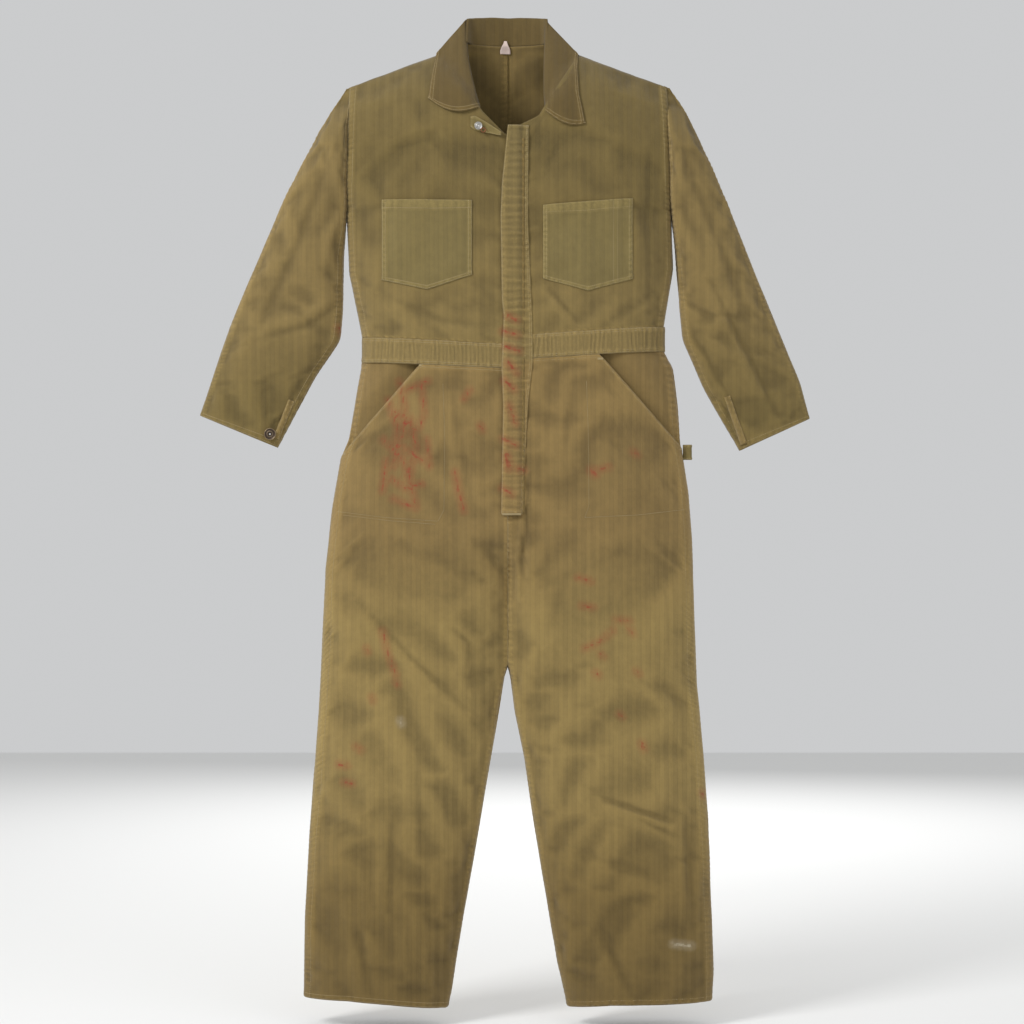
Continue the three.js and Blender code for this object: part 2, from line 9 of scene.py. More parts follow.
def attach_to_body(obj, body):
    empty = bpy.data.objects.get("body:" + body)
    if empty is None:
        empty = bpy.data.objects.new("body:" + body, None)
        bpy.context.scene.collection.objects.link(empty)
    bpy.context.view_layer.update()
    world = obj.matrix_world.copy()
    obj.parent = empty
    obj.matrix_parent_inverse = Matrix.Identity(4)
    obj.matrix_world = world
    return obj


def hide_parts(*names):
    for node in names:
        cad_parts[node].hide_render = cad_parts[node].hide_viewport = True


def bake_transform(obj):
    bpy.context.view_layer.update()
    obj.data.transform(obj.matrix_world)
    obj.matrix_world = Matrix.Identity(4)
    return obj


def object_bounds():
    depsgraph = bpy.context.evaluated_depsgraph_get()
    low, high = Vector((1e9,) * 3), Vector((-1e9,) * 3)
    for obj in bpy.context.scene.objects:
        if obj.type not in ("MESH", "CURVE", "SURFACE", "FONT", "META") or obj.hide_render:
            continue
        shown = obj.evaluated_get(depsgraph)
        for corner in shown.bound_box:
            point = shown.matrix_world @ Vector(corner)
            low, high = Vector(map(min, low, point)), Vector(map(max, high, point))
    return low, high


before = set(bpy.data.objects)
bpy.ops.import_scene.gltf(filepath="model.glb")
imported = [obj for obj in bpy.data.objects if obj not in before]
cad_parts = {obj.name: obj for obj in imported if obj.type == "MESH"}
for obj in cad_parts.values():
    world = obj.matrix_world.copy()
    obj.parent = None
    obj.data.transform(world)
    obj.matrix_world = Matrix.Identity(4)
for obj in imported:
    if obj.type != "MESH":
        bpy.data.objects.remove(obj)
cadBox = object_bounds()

# A worn herringbone work coverall. Metres, +Z up, the front faces -Y, +X is the wearer's left.
# Every cloth piece is a grid of points: rows run down the suit, columns run from its inner to its outer edge.

mm = 0.001
sides = {"left": 1, "right": -1}

def addObject(name, data):
    made = bpy.data.objects.new(name, data)
    bpy.context.scene.collection.objects.link(made)
    return made


# Camera, lights and floor.
cameraPlace = {"x": 0.0066, "distance": 3.99, "z": -0.774, "lens": 85}

camera = addObject("camera", bpy.data.cameras.new("camera"))
camera.location = (cameraPlace["x"], -cameraPlace["distance"], cameraPlace["z"])
camera.rotation_euler = (math.pi / 2, 0, 0)
camera.data.lens = cameraPlace["lens"]
bpy.context.scene.camera = camera
bpy.context.scene.view_settings.view_transform = "Standard"

lights = [
    # name, place, power, size
    ("key", (-2.2, -2.0, 1.3), 78, 1.1),
    ("fill", (2.4, -2.8, -0.2), 16, 2.6),
    ("back", (0.4, 3.0, 0.6), 60, 2.4),
]
studio = {
    "aim": (0, 0, -0.75),
    "air": (0.93, 0.94, 0.95, 1),
    "airStrength": 0.64,
    "floor": (0.78, 0.78, 0.77, 1),
    "floorRoughness": 0.9,
    "floorSize": 9,
    "floorGap": 0.03,  # below the hems
}


def makeStage():
    for name, place, power, size in lights:
        lamp = addObject(name, bpy.data.lights.new(name, "AREA"))
        lamp.data.energy = power
        lamp.data.size = size
        lamp.location = place
        aim = Vector(studio["aim"]) - Vector(place)
        lamp.rotation_euler = aim.to_track_quat("-Z", "Y").to_euler()
    world = bpy.data.worlds.new("studio")
    world.use_nodes = True
    air = world.node_tree.nodes["Background"].inputs
    air["Color"].default_value = studio["air"]
    air["Strength"].default_value = studio["airStrength"]
    bpy.context.scene.world = world
    height = cadBox[0][2] - studio["floorGap"]
    bpy.ops.mesh.primitive_plane_add(size=studio["floorSize"], location=(0, 0, height))
    floor = bpy.context.object
    floor.name = "floor"
    material, _, shader = newMaterial("paleFloor")
    shader.inputs["Base Color"].default_value = studio["floor"]
    shader.inputs["Roughness"].default_value = studio["floorRoughness"]
    floor.data.materials.append(material)


# Small mathematics on arrays.
def smooth(t):
    t = np.clip(t, 0, 1)
    return t * t * (3 - 2 * t)


def edgeLine(points):
    # a seam line: distance from the middle of the suit as a smooth function of height
    z = np.array([p[0] for p in points]) * mm
    x = np.array([p[1] for p in points]) * mm
    fine = np.arange(z.min() - 0.03, z.max() + 0.03, 0.002)
    values = np.interp(fine, z[::-1], x[::-1])
    kernel = np.hanning(11)
    kernel /= kernel.sum()
    padded = np.concatenate([np.full(5, values[0]), values, np.full(5, values[-1])])
    values = np.convolve(padded, kernel, "valid")
    return lambda height: np.interp(height, fine, values)


def softNoise(x, z, size, seed):
    # value noise from -1 to 1 with features about `size` metres across
    table = np.random.RandomState(seed).rand(64, 64) * 2 - 1
    u = x / size + 31.7
    v = z / size + 17.3
    i = np.floor(u).astype(int)
    j = np.floor(v).astype(int)
    a = smooth(u - i)
    b = smooth(v - j)
    i0, i1, j0, j1 = i % 64, (i + 1) % 64, j % 64, (j + 1) % 64
    top = table[i0, j0] * (1 - a) + table[i1, j0] * a
    low = table[i0, j1] * (1 - a) + table[i1, j1] * a
    return top * (1 - b) + low * b


def lineDistance(x, z, points):
    # distance to a chain of points, the side of it, and how far along it the nearest point lies (0 to 1)
    best = np.full(x.shape, 9.0)
    side = np.zeros(x.shape)
    along = np.zeros(x.shape)
    total = len(points) - 1
    for k in range(total):
        ax, az = points[k][0] * mm, points[k][1] * mm
        bx, bz = points[k + 1][0] * mm, points[k + 1][1] * mm
        dx, dz = bx - ax, bz - az
        length = max(1e-6, math.hypot(dx, dz))
        t = np.clip(((x - ax) * dx + (z - az) * dz) / length**2, 0, 1)
        d = np.hypot(x - ax - t * dx, z - az - t * dz)
        s = np.sign((x - ax) * dz - (z - az) * dx)
        near = d < best
        best = np.where(near, d, best)
        side = np.where(near, s, side)
        along = np.where(near, (k + t) / total, along)
    return best, side, along


def spread(length, fine, coarse, margin):
    # positions from 0 to 1 that stand close together near both ends of a length
    n = max(3, int(margin / fine))
    m = max(3, int((length - 2 * margin) / coarse))
    edge = np.linspace(0, margin / length, n + 1)
    middle = np.linspace(margin / length, 1 - margin / length, m + 1)[1:-1]
    return np.concatenate([edge, middle, 1 - edge[::-1]])


def rowNormals(grid):
    across = np.gradient(grid, axis=1)
    down = np.gradient(grid, axis=0)
    normal = np.cross(across, down)
    return normal / np.maximum(1e-9, np.linalg.norm(normal, axis=2, keepdims=True))


def resample(field, rows, columns):
    # reads a grid of values on a finer grid
    oldRows = np.linspace(0, 1, field.shape[0])
    oldColumns = np.linspace(0, 1, field.shape[1])
    part = np.stack([np.interp(columns, oldColumns, line) for line in field])
    return np.stack([np.interp(rows, oldRows, part[:, j]) for j in range(len(columns))], axis=1)


# Wrinkles and paint, in millimetres on the suit: (x, z) points.
creases = [
    # points, half width, depth
    ([(-243, -922), (-160, -1010), (-124, -1044), (-70, -1095)], 10, 2.6),
    ([(-91, -965), (-63, -990), (-61, -1058)], 9, 3.0),
    ([(-190, -1287), (-193, -1424)], 12, 3.0),
    ([(-150, -1180), (-140, -1330)], 14, 2.0),
    ([(35, -715), (30, -790), (22, -850), (24, -911)], 5, 3.6),
    ([(100, -870), (60, -980), (30, -1090)], 13, 0.9),
    ([(160, -1244), (266, -1280)], 9, 4.2),
    ([(185, -1262), (275, -1304)], 8, 3.0),
    ([(294, -1277), (299, -1437)], 12, 3.0),
    ([(120, -1330), (250, -1375)], 16, 2.2),
    ([(68, -411), (111, -462)], 7, 2.6),
    ([(-200, -420), (-110, -462), (-40, -470)], 12, 1.8),
    ([(-226, -180), (-190, -330), (-215, -455)], 14, 1.5),
    ([(232, -190), (224, -330), (236, -450)], 14, 1.8),
    ([(-160, -90), (-110, -190)], 16, 1.0),
    ([(90, -160), (46, -250)], 13, 1.2),
    ([(-95, -560), (-70, -700), (-60, -770)], 12, 1.6),
    ([(110, -560), (90, -690)], 12, 1.6),
    ([(-230, -800), (-100, -860), (-20, -905)], 14, 0.6),
    ([(250, -800), (120, -870), (40, -900)], 14, 0.6),
    ([(150, -1450), (200, -1560)], 14, 2.4),
    ([(-250, -1430), (-225, -1560)], 14, 2.0),
    ([(332, -395), (442, -611)], 8, 3.2),
    ([(304, -485), (327, -520), (366, -590)], 7, 3.0),
    ([(285, -180), (345, -330), (400, -470)], 14, 2.0),
    ([(-292, -200), (-350, -350), (-420, -500)], 14, 2.2),
    ([(-275, -430), (-330, -470), (-395, -485)], 11, 2.6),
    ([(-365, -614), (-389, -633)], 6, 2.4),
    ([(351, -592), (378, -662)], 5, 5.0),
    ([(-372, -640), (-352, -590)], 4, 3.0),
    ([(280, -420), (330, -452), (390, -455)], 11, 2.6),
]

redPaint = [
    # points, half width of the brush mark
    ([(-178, -560), (-168, -600), (-172, -650)], 2.2),
    ([(-196, -590), (-180, -640), (-186, -700)], 2.4),
    ([(-160, -620), (-150, -668), (-160, -720)], 2.4),
    ([(-205, -655), (-170, -690), (-150, -760)], 2.6),
    ([(-190, -720), (-168, -735), (-140, -728)], 2.6),
    ([(-188, -752), (-150, -768)], 2.0),
    ([(-140, -570), (-136, -615), (-146, -640)], 1.8),
    ([(-200, -690), (-205, -740)], 2.0),
    ([(-132, -655), (-128, -700)], 1.8),
    ([(-176, -665), (-140, -690)], 2.2),
    ([(-165, -575), (-130, -560)], 1.6),
    ([(-185, -610), (-150, -640)], 1.8),
    ([(-86, -709), (-80, -740), (-72, -772)], 3.2),
    ([(-45, -633), (-42, -640)], 3.2),
    ([(-72, -590), (-62, -575)], 1.6),
    ([(0, -455), (14, -462)], 4.0),
    ([(-8, -480), (15, -486)], 4.2),
    ([(-4, -505), (18, -512)], 3.6),
    ([(0, -530), (14, -548)], 3.4),
    ([(-6, -560), (10, -575)], 3.0),
    ([(2, -600), (12, -630)], 2.2),
    ([(-8, -655), (12, -665)], 2.4),
    ([(-2, -682), (2, -702)], 6.0),
    ([(16, -704), (26, -706)], 3.0),
    ([(-10, -735), (6, -745)], 2.2),
    ([(136, -706), (142, -712)], 7.0),
    ([(150, -705), (166, -700)], 2.0),
    ([(205, -676), (212, -680)], 3.0),
    ([(-205, -968), (-196, -1005), (-183, -1040)], 3.0),
    ([(-231, -996), (-229, -1003)], 2.2),
    ([(-222, -1076), (-220, -1082)], 2.6),
    ([(-183, -1050), (-180, -1056)], 2.4),
    ([(-248, -1157), (-240, -1163)], 3.4),
    ([(-276, -1187), (-262, -1189)], 3.0),
    ([(-268, -1216), (-255, -1218)], 2.8),
    ([(114, -881), (136, -888)], 2.4),
    ([(120, -927), (140, -930)], 2.2),
    ([(176, -950), (200, -952)], 2.0),
    ([(125, -997), (150, -985), (172, -967)], 2.6),
    ([(143, -1036), (148, -1040)], 3.0),
    ([(209, -1034), (214, -1038)], 2.4),
    ([(199, -967), (204, -972)], 2.2),
    ([(152, -1006), (156, -1010)], 2.2),
    ([(182, -1104), (186, -1108)], 2.4),
    ([(218, -1152), (222, -1160)], 5.0),
    ([(317, -1236), (321, -1240)], 3.4),
    ([(-280, -470), (-276, -478)], 2.6),
]

whitePaint = [
    ([(270, -1480), (300, -1484)], 2.8),
    ([(-176, -1114), (-174, -1120)], 2.2),
]


def creaseHeight(x, z):
    height = np.zeros(x.shape)
    for points, halfWidth, depth in creases:
        d, side, along = lineDistance(x, z, points)
        w = halfWidth * mm
        signed = d * side
        taper = 0.35 + 0.65 * np.sin(np.pi * np.clip(along, 0.04, 0.96))
        valley = np.exp(-((signed / (w * 0.55)) ** 2))
        ridge = np.exp(-(((signed - 1.25 * w) / w) ** 2))
        height += depth * mm * taper * (0.75 * ridge - valley)
    return height


def brushMarks(marks, x, z):
    # distance outside the nearest mark, from 0 in its middle to 1 at the reach of its haze
    reach = 0.012
    nearest = np.full(x.shape, reach)
    for points, halfWidth in marks:
        d, _, _ = lineDistance(x, z, points)
        nearest = np.minimum(nearest, np.maximum(0, d - 0.45 * halfWidth * mm))
    return nearest / reach


# Cloth colours, as sRGB.
clothTones = {
    "chest": (113, 98, 61),
    "pocket": (124, 111, 73),
    "belly": (128, 111, 72),
    "waist": (131, 114, 76),
    "fly": (118, 104, 69),
    "hip": (134, 113, 74),
    "thigh": (142, 123, 80),
    "shin": (123, 104, 64),
    "hem": (113, 95, 58),
    "sleeve": (129, 111, 73),
    "cuff": (115, 100, 62),
    "collar": (100, 84, 50),
    # inside: a lighter tone for the back's inner face seen through the neck opening; painted light that lifts the
    # shade falling there
    "inside": (122, 104, 66),
    "facing": (117, 99, 61),
}


def linear(tone):
    # sRGB to linear light
    shares = [c / 255 for c in tone]
    return np.array([c / 12.92 if c <= 0.04 else ((c + 0.055) / 1.055) ** 2.4 for c in shares])


def toneDown(z, stops):
    heights = [s[0] * mm for s in stops][::-1]
    tones = np.array([linear(clothTones[s[1]]) for s in stops])[::-1]
    return np.stack([np.interp(z, heights, tones[:, k]) for k in range(3)], axis=-1)

# Height in mm and the cloth tone there; cloth between two heights has a mixed tone.
bodiceStops = [(0, "chest"), (-260, "chest"), (-420, "belly"), (-490, "belly")]
# the back starts with the inside tone: painted light against the shade inside the neck
backStops = [(0, "inside"), (-150, "inside"), (-260, "chest"), (-490, "belly")]
trouserStops = [(-520, "hip"), (-800, "hip"), (-960, "thigh"), (-1230, "thigh"), (-1400, "shin"), (-1590, "hem")]
sleeveStops = [(-70, "chest"), (-200, "sleeve"), (-430, "sleeve"), (-620, "cuff"), (-680, "cuff")]
flyStops = [(-140, "fly"), (-480, "belly"), (-490, "waist"), (-524, "waist"), (-534, "hip"), (-780, "hip")]


# Shader groups.
def newGroup(name, inputs, outputs):
    group = bpy.data.node_groups.new(name, "ShaderNodeTree")
    for label, kind, value in inputs:
        socket = group.interface.new_socket(name=label, in_out="INPUT", socket_type=kind)
        if value is not None:
            socket.default_value = value
    for label, kind in outputs:
        group.interface.new_socket(name=label, in_out="OUTPUT", socket_type=kind)
    return group, group.nodes.new("NodeGroupInput"), group.nodes.new("NodeGroupOutput")


class Wires:
    # short ways to add and join shader nodes
    def __init__(self, tree):
        self.tree = tree

    def node(self, kind, **settings):
        made = self.tree.nodes.new(kind)
        for key, value in settings.items():
            setattr(made, key, value)
        return made

    def join(self, source, target):
        self.tree.links.new(source, target)

    def feed(self, socket, value):
        if isinstance(value, bpy.types.NodeSocket):
            self.join(value, socket)
        else:
            socket.default_value = value

    def math(self, operation, a, b=0.0, c=0.0):
        made = self.node("ShaderNodeMath", operation=operation)
        for socket, value in zip(made.inputs, (a, b, c)):
            self.feed(socket, value)
        return made.outputs[0]

    def noise(self, vector, scale, detail=3.0, roughness=0.55):
        made = self.node("ShaderNodeTexNoise")
        self.feed(made.inputs["Vector"], vector)
        made.inputs["Scale"].default_value = scale
        made.inputs["Detail"].default_value = detail
        made.inputs["Roughness"].default_value = roughness
        return made.outputs["Fac"]

    def ramp(self, value, low, high, start=0.0, end=1.0):
        made = self.node("ShaderNodeMapRange", interpolation_type="SMOOTHSTEP")
        for socket, item in zip(made.inputs, (value, low, high, start, end)):
            self.feed(socket, item)
        return made.outputs["Result"]

    def mix(self, factor, a, b, blend="MIX"):
        made = self.node("ShaderNodeMix", data_type="RGBA", blend_type=blend)
        self.feed(made.inputs["Factor"], factor)
        self.feed(made.inputs["A"], a)
        self.feed(made.inputs["B"], b)
        return made.outputs["Result"]

    def attribute(self, name, output="Fac"):
        return self.node("ShaderNodeAttribute", attribute_name=name).outputs[output]

    def group(self, tree, **values):
        made = self.node("ShaderNodeGroup", node_tree=tree)
        for name, value in values.items():
            self.feed(made.inputs[name], value)
        return made.outputs

    def bump(self, height, strength, distance, shader):
        made = self.node("ShaderNodeBump")
        made.inputs["Strength"].default_value = strength
        made.inputs["Distance"].default_value = distance
        self.join(height, made.inputs["Height"])
        self.join(made.outputs["Normal"], shader.inputs["Normal"])


def newMaterial(name):
    material = bpy.data.materials.new(name)
    material.use_nodes = True
    return material, Wires(material.node_tree), material.node_tree.nodes["Principled BSDF"]


def makeHerringbone():
    # herringbone twill: stripes of slanted ribs that lean to and fro
    group, start, end = newGroup(
        "herringboneTwill",
        [
            ("Cloth", "NodeSocketVector", None),
            ("Stripe", "NodeSocketFloat", 0.0075),
            ("Rib", "NodeSocketFloat", 0.0016),
        ],
        [("Tone", "NodeSocketFloat"), ("Height", "NodeSocketFloat")],
    )
    w = Wires(group)
    cloth, stripe, rib = (start.outputs[name] for name in ("Cloth", "Stripe", "Rib"))
    split = w.node("ShaderNodeSeparateXYZ")
    w.join(cloth, split.inputs[0])
    warp = w.math("MULTIPLY", w.math("SUBTRACT", w.noise(cloth, 60.0), 0.5), 0.0012)
    across = w.math("ADD", split.outputs["X"], warp)
    fold = w.math("PINGPONG", across, stripe)
    slanted = w.math("ADD", split.outputs["Y"], w.math("MULTIPLY", fold, 1.1))
    phase = w.math("FRACT", w.math("DIVIDE", slanted, rib))
    wave = w.math("SINE", w.math("MULTIPLY", phase, math.tau))
    turn = w.math("ABSOLUTE", w.math("SUBTRACT", w.math("DIVIDE", fold, stripe), 0.5))
    groove = w.ramp(turn, 0.38, 0.5)
    slub = w.noise(cloth, 900.0, 2.0)
    height = w.math("ADD", w.math("MULTIPLY", wave, 0.5), w.math("MULTIPLY", slub, 0.9))
    height = w.math("SUBTRACT", height, w.math("MULTIPLY", groove, 0.5))
    direction = w.math("FRACT", w.math("DIVIDE", across, w.math("MULTIPLY", stripe, 2.0)))
    lean = w.ramp(direction, 0.47, 0.53)
    spots = w.math("MULTIPLY", w.math("SUBTRACT", slub, 0.5), 0.35)
    tone = w.math("ADD", w.math("MULTIPLY", wave, 0.05), spots)
    tone = w.math("ADD", tone, w.math("MULTIPLY", w.math("SUBTRACT", lean, 0.5), 0.06))
    tone = w.math("SUBTRACT", tone, w.math("MULTIPLY", groove, 0.09))
    w.join(tone, end.inputs["Tone"])
    w.join(height, end.inputs["Height"])
    return group


def makeWearAndHollowShade():
    # fading: broad cloudy patches, lighter ridges and seams; darker hollows and creases, which is painted shade
    group, start, end = newGroup(
        "wearAndHollowShade",
        [
            ("Cloth", "NodeSocketVector", None),
            ("Ridge", "NodeSocketFloat", 0.0),
            ("Seam", "NodeSocketFloat", 0.0),
        ],
        [("Tone", "NodeSocketFloat")],
    )
    w = Wires(group)
    cloth = start.outputs["Cloth"]

    def shades(noise, strength):
        return w.math("MULTIPLY", w.math("SUBTRACT", noise, 0.5), strength)

    cloud = shades(w.noise(cloth, 9.0, 4.0), 0.22)
    mottle = shades(w.noise(cloth, 85.0, 4.0, 0.65), 0.3)
    streakPlace = w.node("ShaderNodeMapping")
    w.join(cloth, streakPlace.inputs["Vector"])
    streakPlace.inputs["Scale"].default_value = (150, 9, 1)
    streak = shades(w.noise(streakPlace.outputs[0], 1.0, 3.0), 0.24)
    rub = w.noise(cloth, 260.0, 3.0, 0.7)
    seam = w.math("MULTIPLY", start.outputs["Seam"], w.ramp(rub, 0.3, 0.7, 0.05, 0.42))
    # the ridge field: lighter raised cloth is wear, darker hollows and creases are painted shade
    ridge = w.math("MULTIPLY", start.outputs["Ridge"], 0.6)
    tone = w.math("ADD", w.math("ADD", cloud, mottle), w.math("ADD", streak, w.math("ADD", seam, ridge)))
    w.join(tone, end.inputs["Tone"])
    return group


def makePaint():
    # dried paint: crisp where it was laid thick, broken over the ribs at its edge
    group, start, end = newGroup(
        "driedPaint",
        [
            ("Cloth", "NodeSocketVector", None),
            ("Distance", "NodeSocketFloat", 1.0),
            ("Spread", "NodeSocketFloat", 0.3),
        ],
        [("Mask", "NodeSocketFloat")],
    )
    w = Wires(group)
    broken = w.noise(start.outputs["Cloth"], 420.0, 4.0, 0.75)
    patches = w.noise(start.outputs["Cloth"], 120.0, 2.0)
    reach = w.math("MULTIPLY", start.outputs["Spread"], w.ramp(patches, 0.36, 0.62, 0.15, 1.0))
    ragged = w.math("MULTIPLY", w.math("SUBTRACT", broken, 0.45), 0.45)
    edge = w.math("ADD", start.outputs["Distance"], ragged)
    w.join(w.ramp(edge, w.math("MULTIPLY", reach, 0.75), reach, 1.0, 0.0), end.inputs["Mask"])
    return group


herringbone = makeHerringbone()
wearAndHollowShade = makeWearAndHollowShade()
driedPaint = makePaint()

clothLooks = {
    # name: tone gain, roughness, bump depth
    "suitTwill": (1.0, 0.93, 0.0006),
    "bandTwill": (1.04, 0.94, 0.0008),
}
dyeShares = (0.98, 0.94, 0.77)  # how much of the dye's red, green and blue is left
paintLooks = {
    # field: how far a mark spreads, colour
    "redPaint": (0.17, (0.30, 0.042, 0.022, 1)),
    "whitePaint": (0.14, (0.5, 0.44, 0.32, 1)),
}


def makeTwill(name):
    gain, roughness, depth = clothLooks[name]
    material, w, shader = newMaterial(name)
    cloth = w.node("ShaderNodeUVMap", uv_map="cloth").outputs["UV"]
    weave = w.group(herringbone, Cloth=cloth, Stripe=0.0075, Rib=0.0016)
    # the wear group: cloudy fading, lighter seams and raised cloth, and painted shade in hollows and creases
    wearAndShade = w.group(wearAndHollowShade, Cloth=cloth, Ridge=w.attribute("ridge"), Seam=w.attribute("seam"))
    tone = w.math("ADD", w.math("ADD", weave["Tone"], wearAndShade["Tone"]), gain)
    shade = w.node("ShaderNodeCombineColor")
    for k, share in enumerate(dyeShares):
        w.join(w.math("MULTIPLY", tone, share), shade.inputs[k])
    colour = w.mix(1.0, w.attribute("tone", "Color"), shade.outputs[0], "MULTIPLY")
    for field, (spreadOf, paint) in paintLooks.items():
        distance = w.attribute(field)
        mask = w.group(driedPaint, Cloth=cloth, Distance=distance, Spread=spreadOf)["Mask"]
        thinned = w.math("MULTIPLY", mask, w.ramp(w.noise(cloth, 210.0, 3.0, 0.7), 0.3, 0.7, 0.3, 0.9))
        haze = w.math("MULTIPLY", w.ramp(distance, 0.0, 0.95, 0.5, 0.0), w.noise(cloth, 150.0))
        colour = w.mix(w.math("MAXIMUM", thinned, haze), colour, paint)
    w.join(colour, shader.inputs["Base Color"])
    w.bump(weave["Height"], 0.55, depth, shader)
    rough = w.ramp(w.noise(cloth, 300.0), 0.2, 0.8, roughness - 0.06, roughness + 0.05)
    w.join(rough, shader.inputs["Roughness"])
    shader.inputs["Sheen Weight"].default_value = 0.12
    shader.inputs["Sheen Roughness"].default_value = 0.6
    shader.inputs["Specular IOR Level"].default_value = 0.25
    return material


def makeThread():
    material, w, shader = newMaterial("sewingThread")
    place = w.node("ShaderNodeTexCoord").outputs["Object"]
    colour = w.mix(w.noise(place, 40.0), (0.24, 0.18, 0.08, 1), (0.5, 0.4, 0.22, 1))
    w.join(colour, shader.inputs["Base Color"])
    shader.inputs["Roughness"].default_value = 0.8
    return material


def makeMetal(name, dark, light, roughness, metallic=0.9):
    # worn metal: dark in the hollows and over most of the face, bright where it is rubbed
    material, w, shader = newMaterial(name)
    place = w.node("ShaderNodeTexCoord").outputs["Object"]
    patches = w.noise(place, 500.0, 4.0, 0.7)
    point = w.node("ShaderNodeNewGeometry").outputs["Pointiness"]
    rubbed = w.math("MAXIMUM", w.ramp(point, 0.5, 0.56), w.ramp(patches, 0.55, 0.72, 0.0, 0.6))
    w.join(w.mix(rubbed, (*dark, 1), (*light, 1)), shader.inputs["Base Color"])
    w.join(w.ramp(patches, 0.3, 0.7, roughness, roughness + 0.25), shader.inputs["Roughness"])
    w.join(w.ramp(patches, 0.2, 0.9, metallic, metallic - 0.25), shader.inputs["Metallic"])
    w.bump(patches, 0.4, 0.0002, shader)
    return material


def makeTagCloth():
    material, w, shader = newMaterial("tagTape")
    place = w.node("ShaderNodeTexCoord").outputs["Object"]
    wave = w.node("ShaderNodeTexWave", bands_direction="X")
    w.join(place, wave.inputs["Vector"])
    wave.inputs["Scale"].default_value = 900
    colour = w.mix(w.noise(place, 160.0), (0.62, 0.44, 0.38, 1), (0.8, 0.7, 0.64, 1))
    bands = w.math("MULTIPLY", wave.outputs["Fac"], 0.25)
    w.join(w.mix(bands, colour, (0.5, 0.4, 0.36, 1)), shader.inputs["Base Color"])
    shader.inputs["Roughness"].default_value = 0.9
    return material


suitTwill = makeTwill("suitTwill")
bandTwill = makeTwill("bandTwill")
sewingThread = makeThread()
bronze = makeMetal("darkBronze", (0.06, 0.042, 0.03), (0.42, 0.32, 0.2), 0.42)
steel = makeMetal("dullSteel", (0.33, 0.32, 0.3), (0.7, 0.69, 0.66), 0.32)
copper = makeMetal("tarnishedCopper", (0.22, 0.09, 0.04), (0.62, 0.33, 0.18), 0.36)
tagTape = makeTagCloth()
print("materials made")


# Cloth pieces.
clothThickness = 0.0011
waves = {
    # the loose cloth simulation: steps, spacing of its points, highest wave, and how the cloth behaves
    "frames": 16,
    "cell": 0.0095,
    "cap": 0.003,
    "quality": 5,
    "mass": 0.15,
    "stretch": 18,
    "shear": 6,
    "bending": 0.35,
    "damping": 4,
}
relief = {
    # heights in metres
    "felled": 0.0007,
    "gather": 0.00085,
    "gatherLength": 0.0098,
    "stitchDip": 0.0003,
    # how far the shapes are drawn out along the warp, their size, noise seed and height
    "rumples": [(0.3, 0.034, 3, 0.0005), (0.4, 0.015, 5, 0.00028), (1, 0.008, 7, 0.00014)],
    "hollowPasses": 26,
    # ridge: the height over the smoothed cloth at which the ridge field is full; that field paints wear on raised
    # cloth and shade in hollows
    "ridge": 0.0013,
}


def gridFaces(rows, columns, flip):
    index = np.arange(rows * columns).reshape(rows, columns)
    a, b, c, d = index[:-1, :-1], index[:-1, 1:], index[1:, 1:], index[1:, :-1]
    faces = np.stack([a, d, c, b], axis=-1).reshape(-1, 4)
    return faces[:, ::-1] if flip else faces


def settle(name, grid, growth):
    # a loose cloth simulation: the edges are sewn down and the cloth between them is a little too large
    rows, columns = grid.shape[:2]
    mesh = bpy.data.meshes.new(name)
    mesh.from_pydata(grid.reshape(-1, 3).tolist(), [], gridFaces(rows, columns, False).tolist())
    cloth = addObject(name, mesh)
    held = cloth.vertex_groups.new(name="held")
    index = np.arange(rows * columns).reshape(rows, columns)
    border = np.concatenate([index[0], index[-1], index[:, 0], index[:, -1]])
    held.add([int(i) for i in set(border.tolist())], 1.0, "REPLACE")
    modifier = cloth.modifiers.new("Cloth", "CLOTH")
    setting = modifier.settings
    setting.quality = waves["quality"]
    setting.mass = waves["mass"]
    setting.tension_stiffness = waves["stretch"]
    setting.compression_stiffness = waves["stretch"]
    setting.shear_stiffness = waves["shear"]
    setting.bending_stiffness = waves["bending"]
    setting.air_damping = waves["damping"]
    setting.shrink_min = -growth
    setting.vertex_group_mass = "held"
    setting.effector_weights.gravity = 0
    modifier.point_cache.frame_start = 1
    modifier.point_cache.frame_end = waves["frames"]
    for step in range(1, waves["frames"] + 1):
        bpy.context.scene.frame_set(step)
    moved = readPoints(cloth.evaluated_get(bpy.context.evaluated_depsgraph_get()).data)
    bpy.data.objects.remove(cloth)
    bpy.data.meshes.remove(mesh)
    bpy.context.scene.frame_set(1)
    return moved.reshape(rows, columns, 3) - grid


def readPoints(mesh):
    points = np.zeros(len(mesh.vertices) * 3)
    mesh.vertices.foreach_get("co", points)
    return points.reshape(-1, 3)


def writePoints(mesh, x, y, z):
    mesh.vertices.foreach_set("co", np.stack([x, y, z], axis=1).reshape(-1))
    mesh.update()


def addMesh(name, points, faces, material):
    mesh = bpy.data.meshes.new(name)
    mesh.from_pydata(points, [], faces)
    mesh.materials.append(material)
    mesh.update()
    return addObject(name, mesh)


def dress(piece, uv, tone, fields):
    # the cloth coordinates in metres, its tone per point, and the fields that the twill reads
    layer = piece.data.uv_layers.new(name="cloth")
    corners = np.zeros(len(piece.data.loops), int)
    piece.data.loops.foreach_get("vertex_index", corners)
    layer.data.foreach_set("uv", uv.reshape(-1, 2)[corners].reshape(-1).astype(np.float32))
    colour = piece.data.attributes.new("tone", "FLOAT_COLOR", "POINT")
    full = np.concatenate([tone.reshape(-1, 3), np.ones((tone.size // 3, 1))], axis=1)
    colour.data.foreach_set("color", full.reshape(-1).astype(np.float32))
    for name, values in fields.items():
        layer = piece.data.attributes.new(name, "FLOAT", "POINT")
        layer.data.foreach_set("value", values.reshape(-1).astype(np.float32))


